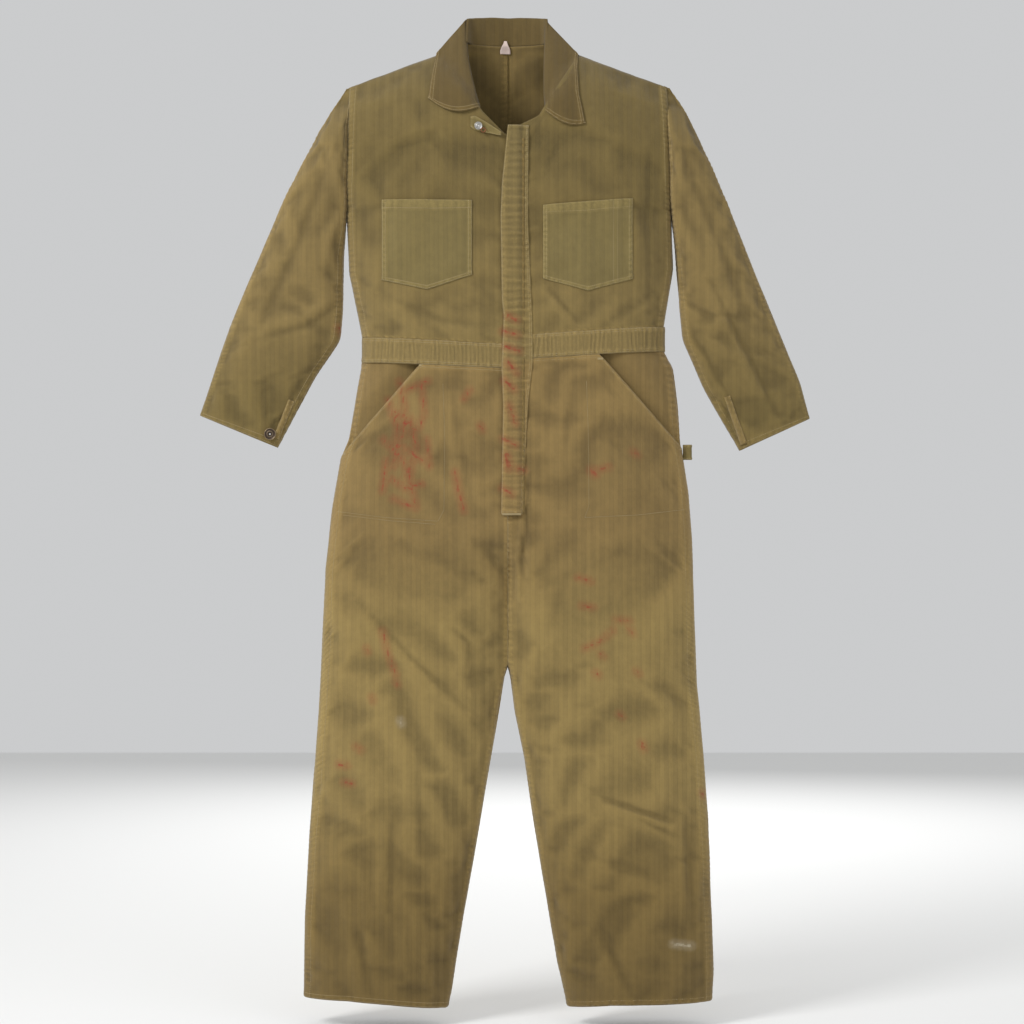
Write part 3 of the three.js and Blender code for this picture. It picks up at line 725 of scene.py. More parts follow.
def deselectAll():
    bpy.ops.object.select_all(action="DESELECT")


def thicken(piece):
    modifier = piece.modifiers.new("Thickness", "SOLIDIFY")
    modifier.thickness = clothThickness
    modifier.offset = -1.0
    deselectAll()
    piece.select_set(True)
    bpy.context.view_layer.objects.active = piece
    bpy.ops.object.modifier_apply(modifier="Thickness")
    piece.data.shade_smooth()


def pucker(along, across, wave, seed):
    # short gathers that cross a seam
    drift = softNoise(along, across, wave * 3, seed) * 1.6
    return np.sin(math.tau * along / wave + drift * 2) * (0.6 + 0.4 * softNoise(along, across, wave * 2, seed + 1))


def pointsAlong(line, length, place):
    return np.array([np.interp(place, length, line[:, k]) for k in range(3)])


def stitchesOn(name, grid, runs, pitch=3.4, size=(1.4, 0.44)):
    # raised lock stitches along runs: each run is a list of (row, column) places on the grid
    half, thick = size[0] * mm, size[1] * mm
    rows, columns = grid.shape[:2]
    normal = rowNormals(grid)
    ring = [(0.62, 1, 0), (0.62, 0, 1), (0.62, -1, 0), (0.62, 0, -0.6)]
    shape = [(-1, 0, 0.2)] + [(-a, b, c) for a, b, c in ring] + ring + [(1, 0, 0.2)]
    faces = [(0, 1 + k, 1 + (k + 1) % 4) for k in range(4)]
    faces += [(1 + k, 5 + k, 5 + (k + 1) % 4, 1 + (k + 1) % 4) for k in range(4)]
    faces += [(9, 5 + (k + 1) % 4, 5 + k) for k in range(4)]
    points, polygons = [], []
    for run in runs:
        r = np.clip(np.array([p[0] for p in run], float), 0, rows - 1.001)
        c = np.clip(np.array([p[1] for p in run], float), 0, columns - 1.001)
        i, j = r.astype(int), c.astype(int)
        a, b = (r - i)[:, None], (c - j)[:, None]
        near = grid[i, j] * (1 - a) + grid[i + 1, j] * a
        far = grid[i, j + 1] * (1 - a) + grid[i + 1, j + 1] * a
        line = near * (1 - b) + far * b
        up = normal[i, j]
        length = np.concatenate([[0], np.cumsum(np.linalg.norm(np.diff(line, axis=0), axis=1))])
        for place in np.arange(pitch * mm / 2, length[-1], pitch * mm):
            centre = pointsAlong(line, length, place)
            ahead = pointsAlong(line, length, place + 0.001) - centre
            if np.linalg.norm(ahead) < 1e-7:
                continue
            ahead /= np.linalg.norm(ahead)
            lift = pointsAlong(up, length, place)
            lift /= max(1e-9, np.linalg.norm(lift))
            side = np.cross(lift, ahead)
            first = len(points)
            for along, across, high in shape:
                rise = lift * (high * thick + 0.1 * mm)
                points.append(centre + ahead * along * half + side * across * thick + rise)
            polygons += [tuple(first + k for k in face) for face in faces]
    made = addMesh(name, [p.tolist() for p in points], polygons, sewingThread)
    made.data.shade_smooth()
    return made


def simulatedWaves(name, place, look, rows, columns):
    # the waves of the loose simulation, as heights over the cloth
    width, length = look["size"]
    coarseColumns = np.linspace(0, 1, max(4, int(width / waves["cell"])) + 1)
    coarseRows = np.linspace(0, 1, max(4, int(length / waves["cell"])) + 1)
    coarse = np.stack(place(*np.meshgrid(coarseColumns, coarseRows)), axis=-1)
    normal = rowNormals(coarse)
    seed = 0.0007 * softNoise(coarse[..., 0], coarse[..., 2] * 0.5, 0.03, len(name))
    moved = settle(name + "_wave", coarse + normal * seed[..., None], look["growth"])
    shift = np.clip((moved * normal).sum(axis=2) + seed, -waves["cap"], waves["cap"])
    if normal[..., 1].mean() * coarse[..., 1].mean() < 0:
        shift = -shift
    return resample(shift, rows, columns)


def makeCloth(name, place, look, tone):
    # place(s, t) gives x, y, z for arrays of shares across and down.
    # look["seams"] maps an edge (inner, outer, top, bottom) to its felled width in mm.
    # look["ribs"] is the direction, spacing and height of puckers that run through the whole piece.
    width, length = look["size"]
    ribs = look.get("ribs")
    dense, sparse = (0.0015, 0.0015) if ribs and ribs[0] == "x" else (0.0028, 0.0055)
    columns = spread(width, dense, sparse, min(0.022, width / 3))
    rows = np.linspace(0, 1, max(4, int(length / look["fine"])) + 1)
    s, t = np.meshgrid(columns, rows)
    grid = np.stack(place(s, t), axis=-1)
    flat = grid[..., [0, 2]].copy()
    normal = rowNormals(grid)
    if normal[..., 1].mean() * grid[..., 1].mean() < 0:
        normal = -normal
    x, z = flat[..., 0], flat[..., 1]
    front = grid[..., 1].mean() < 0
    height = np.zeros(x.shape)
    if look.get("growth"):
        height += simulatedWaves(name, place, look, rows, columns)
    edges = {
        "inner": (s * width, t * length),
        "outer": ((1 - s) * width, t * length),
        "top": (t * length, s * width),
        "bottom": ((1 - t) * length, s * width),
    }
    seamField = np.zeros(x.shape)
    for number, (edge, band) in enumerate(look["seams"].items()):
        distance, along = edges[edge]
        felled = band * mm
        plate = smooth(distance / 0.002) * (1 - smooth((distance - felled) / 0.002))
        window = np.exp(-(((distance - felled * 0.5) / (felled * 0.5)) ** 2))
        gathers = pucker(along, distance * 0.6, relief["gatherLength"], 11 + number + len(name))
        height += relief["felled"] * plate + relief["gather"] * window * gathers
        worn = np.exp(-((distance / 0.0016) ** 2)) * 1.5
        seamField = np.maximum(seamField, np.maximum(plate * (0.6 + 0.55 * gathers), worn))
        for row in (0.0022, felled - 0.002):
            height -= relief["stitchDip"] * np.exp(-(((distance - row) / 0.0012) ** 2))
    if ribs:
        direction, spacing, rise = ribs
        along, across = (x, z) if direction == "x" else (z, x)
        waver = pucker(along, across * 0.35, spacing, 40 + len(name))
        waver = waver + 0.5 * pucker(along, across * 0.5, spacing * 0.6, 50)
        border = np.minimum(np.minimum(s, 1 - s) * width, np.minimum(t, 1 - t) * length)
        fade = smooth(border / 0.004)
        height += rise * waver * fade
        seamField = np.maximum(seamField, np.clip(0.35 + 0.5 * waver, 0, 1) * fade)
    inside = smooth(np.minimum(s, 1 - s) * width / 0.02)
    if front and not look.get("plain"):
        height += creaseHeight(x, z) * (0.25 + 0.75 * inside)
    rumple = sum(softNoise(x, z * drawn, size, seed) * high for drawn, size, seed, high in relief["rumples"])
    height += rumple * (0.35 + 0.65 * inside)
    # ridge: how far the cloth stands above its smoothed surface; the twill paints raised cloth lighter as wear, and
    # hollows and creases darker as painted shade
    hollow = height.copy()
    for _ in range(relief["hollowPasses"]):
        hollow[1:-1, 1:-1] = neighbours(hollow) / 4
    ridge = np.clip((height - hollow) / relief["ridge"], -1.2, 0.8) * 0.3
    grid = grid + normal * height[..., None]
    flip = np.cross(grid[1, 0] - grid[0, 0], grid[0, 1] - grid[0, 0]) @ normal[0, 0] < 0
    faces = gridFaces(len(rows), len(columns), flip)
    piece = addMesh(name, grid.reshape(-1, 3).tolist(), faces.tolist(), look["cloth"])
    # the tone per point: the cloth's colour, and on the back's top a lighter tone that is painted light against the
    # shade inside the neck
    toneAndPaintedLight = toneDown(z, tone) if isinstance(tone, list) else np.broadcast_to(linear(clothTones[tone]), (*x.shape, 3))
    fields = {"ridge": ridge, "seam": seamField}
    for field, marks in (("redPaint", redPaint), ("whitePaint", whitePaint)):
        fields[field] = brushMarks(marks, x, z) if front else np.ones(x.shape)
    dress(piece, flat, toneAndPaintedLight, fields)
    thicken(piece)
    return {"piece": piece, "grid": grid, "columns": columns, "rows": rows, "size": look["size"]}


def neighbours(field):
    # the sum of the four values round each inner point
    return field[:-2, 1:-1] + field[2:, 1:-1] + field[1:-1, :-2] + field[1:-1, 2:]


def edgeRuns(sheet, edge, offsets):
    # runs of stitches at distances in mm from an edge
    runs = []
    width, length = sheet["size"]
    columns, last = sheet["columns"], len(sheet["rows"]) - 1
    for offset in offsets:
        share = offset * mm / (width if edge in ("inner", "outer") else length)
        if edge in ("outer", "bottom"):
            share = 1 - share
        if edge in ("inner", "outer"):
            column = float(np.interp(share, columns, np.arange(len(columns))))
            runs.append([(r, column) for r in range(last)])
        else:
            runs.append([(share * last, c) for c in np.linspace(0, len(columns) - 1.01, 60)])
    return runs


def attach(piece, body, zone):
    if zone:
        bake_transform(piece)
    else:
        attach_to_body(piece, body)


def sewPiece(name, place, look, tone, nodes, body="root", zone=None):
    # one sheet of cloth and its stitches, on a body, or, when a zone is given, left unparented with its placement
    # baked into its points
    sheet = makeCloth(name, place, look, tone)
    piece, grid = sheet["piece"], sheet["grid"]
    attach(piece, body, zone)
    if nodes:
        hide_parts(*nodes)
    runs = [run for edge, offsets in look["stitches"] for run in edgeRuns(sheet, edge, offsets)]
    if runs:
        attach(stitchesOn(name + "_thread", grid, runs), body, zone)
    return grid


# Outlines, in millimetres: height, then distance from the middle of the suit.
bodyEdge = {
    "right": edgeLine([(-71, 262), (-269, 267), (-381, 262), (-488, 240), (-545, 241)]),
    "left": edgeLine([(-71, 262), (-284, 270), (-373, 272), (-470, 257), (-545, 262)]),
}
outseam = {
    "right": edgeLine(
        [(-470, 236), (-530, 241), (-655, 263), (-684, 276), (-767, 290), (-868, 301), (-1100, 312)]
        + [(-1180, 318), (-1308, 328), (-1437, 335), (-1572, 337), (-1600, 337)]
    ),
    "left": edgeLine(
        [(-470, 256), (-510, 257), (-536, 272), (-600, 280), (-658, 284), (-742, 298), (-818, 304)]
        + [(-931, 307), (-1058, 312), (-1181, 323), (-1277, 330), (-1405, 335), (-1533, 339), (-1600, 336)]
    ),
}
inseam = {
    "right": edgeLine(
        [(-780, -2), (-1025, -1.5), (-1046, 6), (-1136, 21), (-1229, 37), (-1341, 56), (-1437, 73)]
        + [(-1564, 93), (-1600, 102)]
    ),
    "left": edgeLine(
        [(-780, -2), (-1025, -1.5), (-1046, 4), (-1101, 11), (-1180, 27), (-1229, 34), (-1341, 51)]
        + [(-1437, 68), (-1516, 81), (-1600, 101)]
    ),
}
waistRows = {
    # x and z of the band's upper and lower seam, from the middle to the side
    "right": {"top": [(0, -500), (240, -487)], "bottom": [(0, -540), (240, -529)]},
    "left": {"top": [(0, -487), (260, -469)], "bottom": [(0, -526), (260, -510)]},
}
hemRows = {
    "right": [(100, -1590), (197, -1579), (264, -1573), (338, -1572)],
    "left": [(100, -1588), (173, -1580), (244, -1579), (320, -1578)],
}
slashRows = {"right": [(142, -531), (269, -675)], "left": [(153, -520), (285, -667)]}
innerEdge = {"right": -0.004, "left": 0.020}
backEdge = {"right": 0.0003, "left": -0.006}

neck = {"half": 0.117, "z": -0.020, "slope": 54 / 145}
armholeTop, armpit = -0.074, -0.276
bodyRoom, legRoom, neckEase = 0.0522, 0.0445, 0.014


def lineAt(points, x):
    # height on a line of points; a line of two points goes on past its ends
    if len(points) > 2:
        return np.interp(x, [p[0] * mm for p in points], [p[1] * mm for p in points])
    (ax, az), (bx, bz) = points
    return az * mm + (x - ax * mm) * (bz - az) / (bx - ax)


def lens(x, half):
    q = np.clip((np.abs(x) - 0.05) / (half - 0.05), 0, 1)
    return np.maximum(0, 1 - q**3.5) ** 0.62


def shoulderAt(x):
    return neck["z"] + (neck["half"] - np.abs(x)) * neck["slope"]


def shoulderShare(x, z):
    share = np.clip((shoulderAt(x) - z) / 0.13, 0, 1)
    return (1 - (1 - share) ** 2) ** 0.7


def armOpening(z):
    return 0.024 * np.sin(np.pi * np.clip((armholeTop - z) / (armholeTop - armpit), 0, 1)) ** 0.8


def bodyDepthAt(x, z, side):
    half = bodyEdge[side](z)
    edge = np.clip(np.abs(x) / half, 0, 1)
    return bodyRoom * lens(x, half) * shoulderShare(x, z) + armOpening(z) * edge**9


def backDepthAt(x, z, side):
    ease = neckEase * np.maximum(0, 1 - (x / neck["half"]) ** 2) * (1 - shoulderShare(x, z))
    return bodyDepthAt(x, z, side) + ease


def trouserDepthAt(x, z, side):
    outer = outseam[side](z)
    inner = inseam[side](z)
    share = np.clip((np.abs(x) - inner) / (outer - inner), 0, 1)
    whole = bodyRoom * lens(x, outer)
    single = legRoom * np.maximum(0, 1 - np.abs(2 * share - 1) ** 2.5) ** 0.6
    lower = smooth((-0.79 - z) / 0.10)
    return whole * (1 - lower) + single * lower


# Bodice.
frontTrees = []


def keepFront(grid):
    # pieces that lie on this panel read its surface later
    frontTrees.append(BVHTree.FromPolygons(grid.reshape(-1, 3).tolist(), gridFaces(*grid.shape[:2], False).tolist()))


def frontSurface(x, z, fallback):
    # y of the outermost panel at each point, evened out a little
    field = np.array(fallback, float) + 0 * x
    shape = field.shape
    flat = field.reshape(-1)
    for k, (px, pz) in enumerate(zip(x.reshape(-1), z.reshape(-1))):
        hits = [tree.ray_cast(Vector((px, -0.3, pz)), Vector((0, 1, 0)), 0.6)[0] for tree in frontTrees]
        near = [hit.y for hit in hits if hit]
        if near:
            flat[k] = min(near)
    field = flat.reshape(shape)
    for _ in range(3):
        even = field.copy()
        even[1:-1, 1:-1] = (neighbours(field) + 2 * field[1:-1, 1:-1]) / 6
        field = np.minimum(even, field + 0.0004)
    return field


necklines = {
    # distance from the middle, height
    "right": [(-5, -160), (5, -158), (10, -153), (43, -119), (60, -92), (117, -20)],
    "left": [(0, -146), (20, -143), (50, -128), (62, -108), (117, -20)],
}
bodice = {
    "size": (0.262, 0.47),  # of the grid of points
    "flat": (0.27, 0.48),
    "growth": 0.006,
    "fine": 0.0034,
    "cloth": suitTwill,
    "slot": "suit_cloth",
}
bodiceSeams = {
    # felled widths, then rows of stitches, in mm
    "front": ({"outer": 13, "bottom": 5}, [("outer", (2.4, 11.5))]),
    "back": ({"inner": 11, "outer": 13, "bottom": 5}, [("outer", (2.4, 11.5)), ("inner", (2.4, 9.5))]),
}


def bodicePlace(side, front):
    sign = sides[side]
    inner = innerEdge[side] if front else backEdge[side]

    def place(s, t):
        topX = inner + (0.262 - inner) * s
        if front:
            neckZ = lineAt(necklines[side], topX)
        else:
            neckZ = np.where(topX < 0.068, 0, neck["z"] * (topX - 0.068) / 0.049)
        top = np.where(topX < neck["half"], neckZ, shoulderAt(topX))
        bottom = lineAt(waistRows[side]["top"], topX) - 0.002
        z = top + (bottom - top) * t
        x = inner + (bodyEdge[side](z) - inner) * s
        depth = bodyDepthAt(x, z, side) if front else backDepthAt(x, z, side) + backLap(side, x)
        return sign * x, (-depth if front else depth) + (-0.0002 if front else 0.0002), z

    return place

def backLap(side, x):
    # the left back laps over the right one at the middle seam
    return 0.0015 * (1 - smooth((x - 0.002) / 0.012)) if side == "left" else 0


def makeBodice(side, front):
    face = "front" if front else "back"
    node = face + "_bodice_" + side
    seams, stitches = bodiceSeams[face]
    look = {**bodice, "seams": seams, "stitches": stitches}
    tone = bodiceStops if front else backStops
    grid = sewPiece(node + "_cloth", bodicePlace(side, front), look, tone, [node])
    if front:
        keepFront(grid)


# Sleeves: one sheet from armhole to cuff.
sleeveRows = {
    # share down the sleeve, then the inner and the outer edge in mm
    "right": [
        (0, (258, -73), (266, -76)),
        (0.06, (261, -112), (290, -112)),
        (0.12, (262, -150), (313, -150)),
        (0.3, (264, -262), (371, -262)),
        (0.45, (271, -360), (415, -365)),
        (0.6, (272, -440), (448, -440)),
        (0.7, (276, -490), (470, -500)),
        (0.85, (318, -552), (490, -560)),
        (1, (380, -668), (508, -615)),
    ],
    "left": [
        (0, (258, -71), (266, -75)),
        (0.06, (261, -110), (292, -112)),
        (0.12, (262, -150), (316, -160)),
        (0.3, (266, -262), (361, -262)),
        (0.45, (276, -350), (400, -360)),
        (0.6, (283, -435), (432, -440)),
        (0.7, (288, -490), (457, -500)),
        (0.85, (322, -570), (482, -562)),
        (1, (382, -673), (498, -620)),
    ],
}
sleeve = {
    "size": (0.17, 0.62),
    "flat": (0.2, 0.64),
    "growth": 0.011,
    "fine": 0.0034,
    "cloth": suitTwill,
    "slot": "suit_cloth",
    "seams": {"inner": 12, "outer": 10, "bottom": 9},
    "stitches": [("inner", (2.4, 10)), ("outer", (2.2,)), ("bottom", (2.2, 8))],
}
sleeveRoom = (0.0375, 0.0175)  # half the depth at the shoulder and at the cuff
sleevePivot, sleeveDown = Vector((0.329, 0, -0.331)), Vector((0.317, 0, -0.948))


def sleevePlace(side, front):
    sign = sides[side]
    rowsOf = sleeveRows[side]
    shares = np.array([r[0] for r in rowsOf])
    fine = np.linspace(0, 1, 201)
    kernel = np.hanning(15) / np.hanning(15).sum()

    def line(k, axis):
        values = np.interp(fine, shares, [r[k][axis] * mm for r in rowsOf])
        ends = np.concatenate([2 * values[0] - values[7:0:-1], values, 2 * values[-1] - values[-2:-9:-1]])
        return np.convolve(ends, kernel, "valid")

    lines = {(k, axis): line(k, axis) for k in (1, 2) for axis in (0, 1)}

    def place(s, t):
        ix, iz = np.interp(t, fine, lines[1, 0]), np.interp(t, fine, lines[1, 1])
        ox, oz = np.interp(t, fine, lines[2, 0]), np.interp(t, fine, lines[2, 1])
        x, z = ix + (ox - ix) * s, iz + (oz - iz) * s
        room = sleeveRoom[0] + (sleeveRoom[1] - sleeveRoom[0]) * t
        depth = room * np.maximum(0, 1 - np.abs(2 * s - 1) ** 2.6) ** 0.6 * smooth(t / 0.16)
        depth = depth + armOpening(z) * (1 - s) ** 3 * (t < 0.36)
        return sign * x, -(depth + 0.0002) if front else depth + 0.0002, z

    return place

def sleeveZone(side):
    # two points round the sleeve's pivot, with the body names, passed on as the sleeve's zone
    ends = [sleevePivot + sleeveDown * k for k in (-0.075, 0.075)]
    return ("root", "sleeve_" + side, *[(sides[side] * p.x, 0, p.z) for p in ends])


def makeSleeve(side, front):
    face = "front" if front else "back"
    node = "sleeve_" + face + "_" + side
    nodes = ["sleeve_cap_" + face + "_" + side, node]
    place = sleevePlace(side, front)
    grid = sewPiece(node + "_cloth", place, sleeve, sleeveStops, nodes, zone=sleeveZone(side))
    if front:
        keepFront(grid)


# Trousers: one sheet from waistband to hem.
trouser = {
    "size": (0.262, 1.06),
    "flat": (0.3, 1.09),
    "growth": 0.006,
    "fine": 0.0038,
    "cloth": suitTwill,
    "slot": "suit_cloth",
    "seams": {"inner": 7, "outer": 15, "bottom": 10, "top": 7},
    "stitches": [("outer", (2.4, 13)), ("inner", (2.4,)), ("bottom", (2.2, 8.6))],
}
slashStitches = [("top", (2.2, 6))]  # on the front, along the slash pocket and the waist
legBend = {"x": 0.1545, "top": -0.90, "foot": -1.10}


def trouserPlace(side, front):
    sign = sides[side]
    inner = innerEdge[side] if front else backEdge[side]

    def place(s, t):
        top = lineAt(waistRows[side]["bottom"], inner + (0.245 - inner) * s) + 0.002
        slashed = top.copy()
        if front:
            for _ in range(14):
                x = inner + (outseam[side](slashed) - inner) * s
                slashed = np.minimum(top, lineAt(slashRows[side], x))
        bottom = lineAt(hemRows[side], 0.1 + 0.238 * s)
        z = slashed + (bottom - slashed) * t
        closed = inner + (-0.002 - inner) * smooth((-0.745 - z) / 0.022)
        near = np.where(z > -0.80, closed, inseam[side](z))
        x = near + (outseam[side](z) - near) * s
        depth = trouserDepthAt(x, z, side) + 0.0002 + (0 if front else backLap(side, x) * (z > -0.84))
        return sign * x, -depth if front else depth, z

    return place


def makeTrouser(side, front):
    face = "front" if front else "back"
    look = {**trouser, "stitches": trouser["stitches"] + (slashStitches if front else [])}
    nodes = ["hip_" + face + "_" + side, "leg_" + face + "_" + side]
    zone = [(sides[side] * legBend["x"], 0, legBend[end]) for end in ("top", "foot")]
    name = "trouser_" + face + "_" + side + "_cloth"
    place = trouserPlace(side, front)
    grid = sewPiece(name, place, look, trouserStops, nodes, zone=("root", "leg_" + side, *zone))
    if front:
        keepFront(grid)


# Small flat pieces that lie on the panels.
small = {"cloth": bandTwill, "slot": "band_cloth", "fine": 0.0026, "plain": True}

waistband = {
    **small,
    "size": (0.225, 0.04),
    "fine": 0.002,
    "plain": False,
    "ribs": ("x", 0.0066, 0.0006),
    "seams": {"top": 7, "bottom": 7},
    "stitches": [("top", (2, 5)), ("bottom", (2, 5))],
}


def makeWaistband(side, front):
    sign = sides[side]

    def place(s, t):
        inner = innerEdge[side] if front else backEdge[side]
        high, low = waistRows[side]["top"], waistRows[side]["bottom"]
        half = bodyEdge[side](lineAt(high, 0.24 + 0 * s) - 0.02)
        x = inner + (half + 0.0008 - inner) * s
        z = lineAt(high, x) + (lineAt(low, x) - lineAt(high, x)) * t
        ends = 1 - smooth((s - 0.98) / 0.02)  # the two bands meet at the side seam
        depth = bodyRoom * lens(x, half + 0.001) + (0.0012 * smooth(np.minimum(t, 1 - t) * 12) + 0.0006) * ends
        return sign * x, -depth if front else depth, z

    name = "waistband_" + ("front_" if front else "back_") + side + "_cloth"
    nodes = ["waistband_" + side] if front else ["waistband_back"]
    grid = sewPiece(name, place, waistband, "waist", nodes)
    if front:
        keepFront(grid)


facing = {
    **small,
    "size": (0.15, 0.25),
    "cloth": suitTwill,
    "seams": {"outer": 12},
    "stitches": [("outer", (2.4, 10))],
}


def makeFacing(side):
    # the lining that shows in the slash opening and hangs behind the thigh as a pocket
    sign = sides[side]
    slash = slashRows[side]

    def place(s, t):
        top = lineAt(waistRows[side]["bottom"], 0.118 + 0.13 * s) + 0.002
        z = top + (-0.782 - top) * t
        pull = 0.0004 + 0.042 * smooth((slash[1][1] * mm + 0.004 - z) / 0.03)
        x = 0.118 + (outseam[side](z) - pull - 0.118) * s
        run = np.hypot(slash[1][0] - slash[0][0], slash[0][1] - slash[1][1])
        nx, nz = (slash[0][1] - slash[1][1]) / run, (slash[1][0] - slash[0][0]) / run
        beyond = (x - slash[0][0] * mm) * nx + (z - slash[0][1] * mm) * nz
        sink = 0.0016 + 0.0105 * (1 - smooth(beyond / 0.035))
        depth = np.maximum(0.0004, trouserDepthAt(x, z, side) - sink)
        return sign * x, -depth, z

    sewPiece("hip_pocket_" + side + "_cloth", place, facing, "hip", ["hip_pocket_" + side])


chestPocket = {
    **small,
    "size": (0.148, 0.135),
    "slot": "suit_cloth",
    "seams": {"inner": 6, "outer": 6, "bottom": 6, "top": 15},
    "stitches": [("inner", (1.8, 6)), ("outer", (1.8, 6)), ("bottom", (1.8, 6)), ("top", (13.5,))],
}
pocketCorners = {
    # inner x, outer x, top z inner and outer, side bottom z inner and outer, point z
    "right": (58, 206, -266, -264, -388, -396, -412),
    "left": (57, 204, -274, -262, -394, -394, -414),
}
pencilSlot = {"side": "left", "share": 0.745}  # where its seam parts it from the pocket


def makeChestPocket(side):
    sign = sides[side]
    inner, outer, topInner, topOuter, lowInner, lowOuter, point = pocketCorners[side]

    def place(s, t):
        x = (inner + (outer - inner) * s) * mm
        top = (topInner + (topOuter - topInner) * s) * mm
        foot = (lowInner + (lowOuter - lowInner) * s) * mm
        bottom = foot + (point * mm - (lowInner + lowOuter) / 2 * mm) * (1 - np.abs(2 * s - 1))
        z = top + (bottom - top) * t
        away = np.minimum(np.minimum(s, 1 - s) * (outer - inner), (1 - t) * 125)
        lift = 0.0012 + 0.0022 * smooth(away / 26) * (1 - 0.35 * t)
        return sign * x, frontSurface(sign * x, z, -bodyRoom) - lift, z

    name = "chest_pocket_" + side
    grid = sewPiece(name + "_cloth", place, chestPocket, "pocket", [name])
    if side == pencilSlot["side"]:
        column = pencilSlot["share"] * (grid.shape[1] - 1)
        runs = [[(r, column + d) for r in range(1, grid.shape[0] - 1)] for d in (-0.6, 0.6)]
        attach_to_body(stitchesOn("pencil_slot_thread", grid, runs), "root")


for side in sides:
    for front in (True, False):
        makeBodice(side, front)
        makeSleeve(side, front)
        makeTrouser(side, front)
        makeWaistband(side, front)
    makeFacing(side)
    makeChestPocket(side)
print("panels made")


# Front closure.
buttonHeights = [-0.215, -0.325, -0.435, -0.560, -0.665]

strips = {
    # left and right edge, y
    "button_stand": (-0.0086, 0.028, -0.0495),
    "buttonhole_fly": (-0.003, 0.027, -0.0548),
}
stripEnds = (-0.165, -0.775)

flyFlap = {
    **small,
    "size": (0.048, 0.632),
    "fine": 0.0022,
    "ribs": ("z", 0.0125, 0.0006),
    "seams": {"inner": 6, "outer": 5, "bottom": 6, "top": 5},
    "stitches": [("inner", (2,)), ("outer", (2, 5)), ("bottom", (2, 4.5)), ("top", (2,))],
    "ends": (-0.144, -0.778),
    # distance below the neck, x, both in metres
    "left": [
        (0.142, 0.0), (0.24, -0.010), (0.29, -0.012), (0.43, -0.010),
        (0.454, -0.007), (0.536, -0.0105), (0.6, -0.008), (0.772, -0.011),
    ],
    "right": [
        (0.142, 0.034), (0.3, 0.033), (0.46, 0.040), (0.53, 0.041),
        (0.6, 0.033), (0.672, 0.029), (0.778, 0.024),
    ],
    "zone": ("root", "fly_flap", (0.04, -0.057, -0.765), (0.04, -0.057, -0.62)),
}


def makeStrip(name):
    left, right, y = strips[name]
    top, bottom = stripEnds
    look = {
        **small,
        "size": (right - left, 0.61),
        "seams": {"inner": 5, "outer": 5},
        "stitches": [("inner", (2,))],
    }

    def place(s, t):
        return left + (right - left) * s, y + 0 * s, top + (bottom - top) * t

    sewPiece(name + "_cloth", place, look, "facing", [name])


def makeFlyFlap():
    top, bottom = flyFlap["ends"]

    def place(s, t):
        z = top + (bottom - top) * t
        left, right = (np.interp(-z, *zip(*flyFlap[edge])) for edge in ("left", "right"))
        x = left + (right - left) * s
        heads = sum(np.exp(-(((z - h) / 0.013) ** 2)) for h in buttonHeights)
        over = smooth((x + 0.013) / 0.010) * (1 - smooth((x - 0.017) / 0.012))
        sewn = smooth((x - 0.017) / 0.010)
        laid = np.minimum(frontSurface(x, z, -0.0532), -0.0532) - 0.0008
        y = (-0.0562 - 0.0032 * over - 0.0010 * over * heads) * (1 - sewn) + laid * sewn
        return x, y, z

    sewPiece("fly_flap_cloth", place, flyFlap, flyStops, ["fly_flap", "fly_foot"], zone=flyFlap["zone"])


def barTack(x, z, width, y, body):
    # a short dense bar of thread
    points = np.stack(np.meshgrid(np.linspace(-1, 1, 9), np.linspace(-1, 1, 5)), axis=-1)
    grid = np.stack([x + points[..., 0] * width / 2, y + 0 * points[..., 0], z - points[..., 1] * 0.0014], axis=-1)
    runs = [[(r, c) for c in np.linspace(0, 7.9, 20)] for r in np.linspace(0.2, 3.8, 5)]
    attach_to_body(stitchesOn("bar_tack", grid, runs, pitch=1.6, size=(1.0, 0.5)), body)


def freshMesh(name, material):
    made = bpy.context.object
    made.name = name
    made.data.name = name
    made.data.materials.clear()
    made.data.materials.append(material)
    return made


# thickness and depth of each inset, in shares of the head's radius
buttonSteps = [(0.09, 0), (0.10, -0.06), (0.12, -0.08), (0.10, 0.05), (0.14, 0.04), (0.08, -0.05), (0.06, -0.12)]


def makeButtonHead():
    # a tack button's ring: turned rim, sunken middle with a bead of small knobs round the hole
    deselectAll()
    bpy.ops.mesh.primitive_cylinder_add(vertices=40, radius=1, depth=0.34, location=(0, 0, 0.17))
    made = freshMesh("button_head", bronze)
    bpy.ops.object.mode_set(mode="EDIT")
    bpy.ops.mesh.select_mode(type="FACE")
    bpy.ops.mesh.select_all(action="DESELECT")
    bpy.ops.object.mode_set(mode="OBJECT")
    for face in made.data.polygons:
        face.select = face.normal.z > 0.9
    bpy.ops.object.mode_set(mode="EDIT")
    for thickness, depth in buttonSteps:
        bpy.ops.mesh.inset(thickness=thickness, depth=depth)
    bpy.ops.object.mode_set(mode="OBJECT")
    bevel = made.modifiers.new("Bevel", "BEVEL")
    bevel.width = 0.03
    bevel.segments = 2
    bevel.limit_method = "ANGLE"
    bpy.ops.object.modifier_apply(modifier="Bevel")
    bpy.ops.object.shade_smooth_by_angle(angle=math.radians(40))
    return made


def placeHead(master, name, place, radius, outwards, body, node, material):
    made = addObject(name, master.data.copy())
    made.data.materials[0] = material
    x, y, z = (readPoints(made.data) * radius).T
    writePoints(made.data, x + place[0], outwards * z + place[1], place[2] - outwards * y)
    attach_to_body(made, body)
    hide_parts(node)


tack = {"radius": 0.0045, "cap": 0.001, "pin": 0.0013}


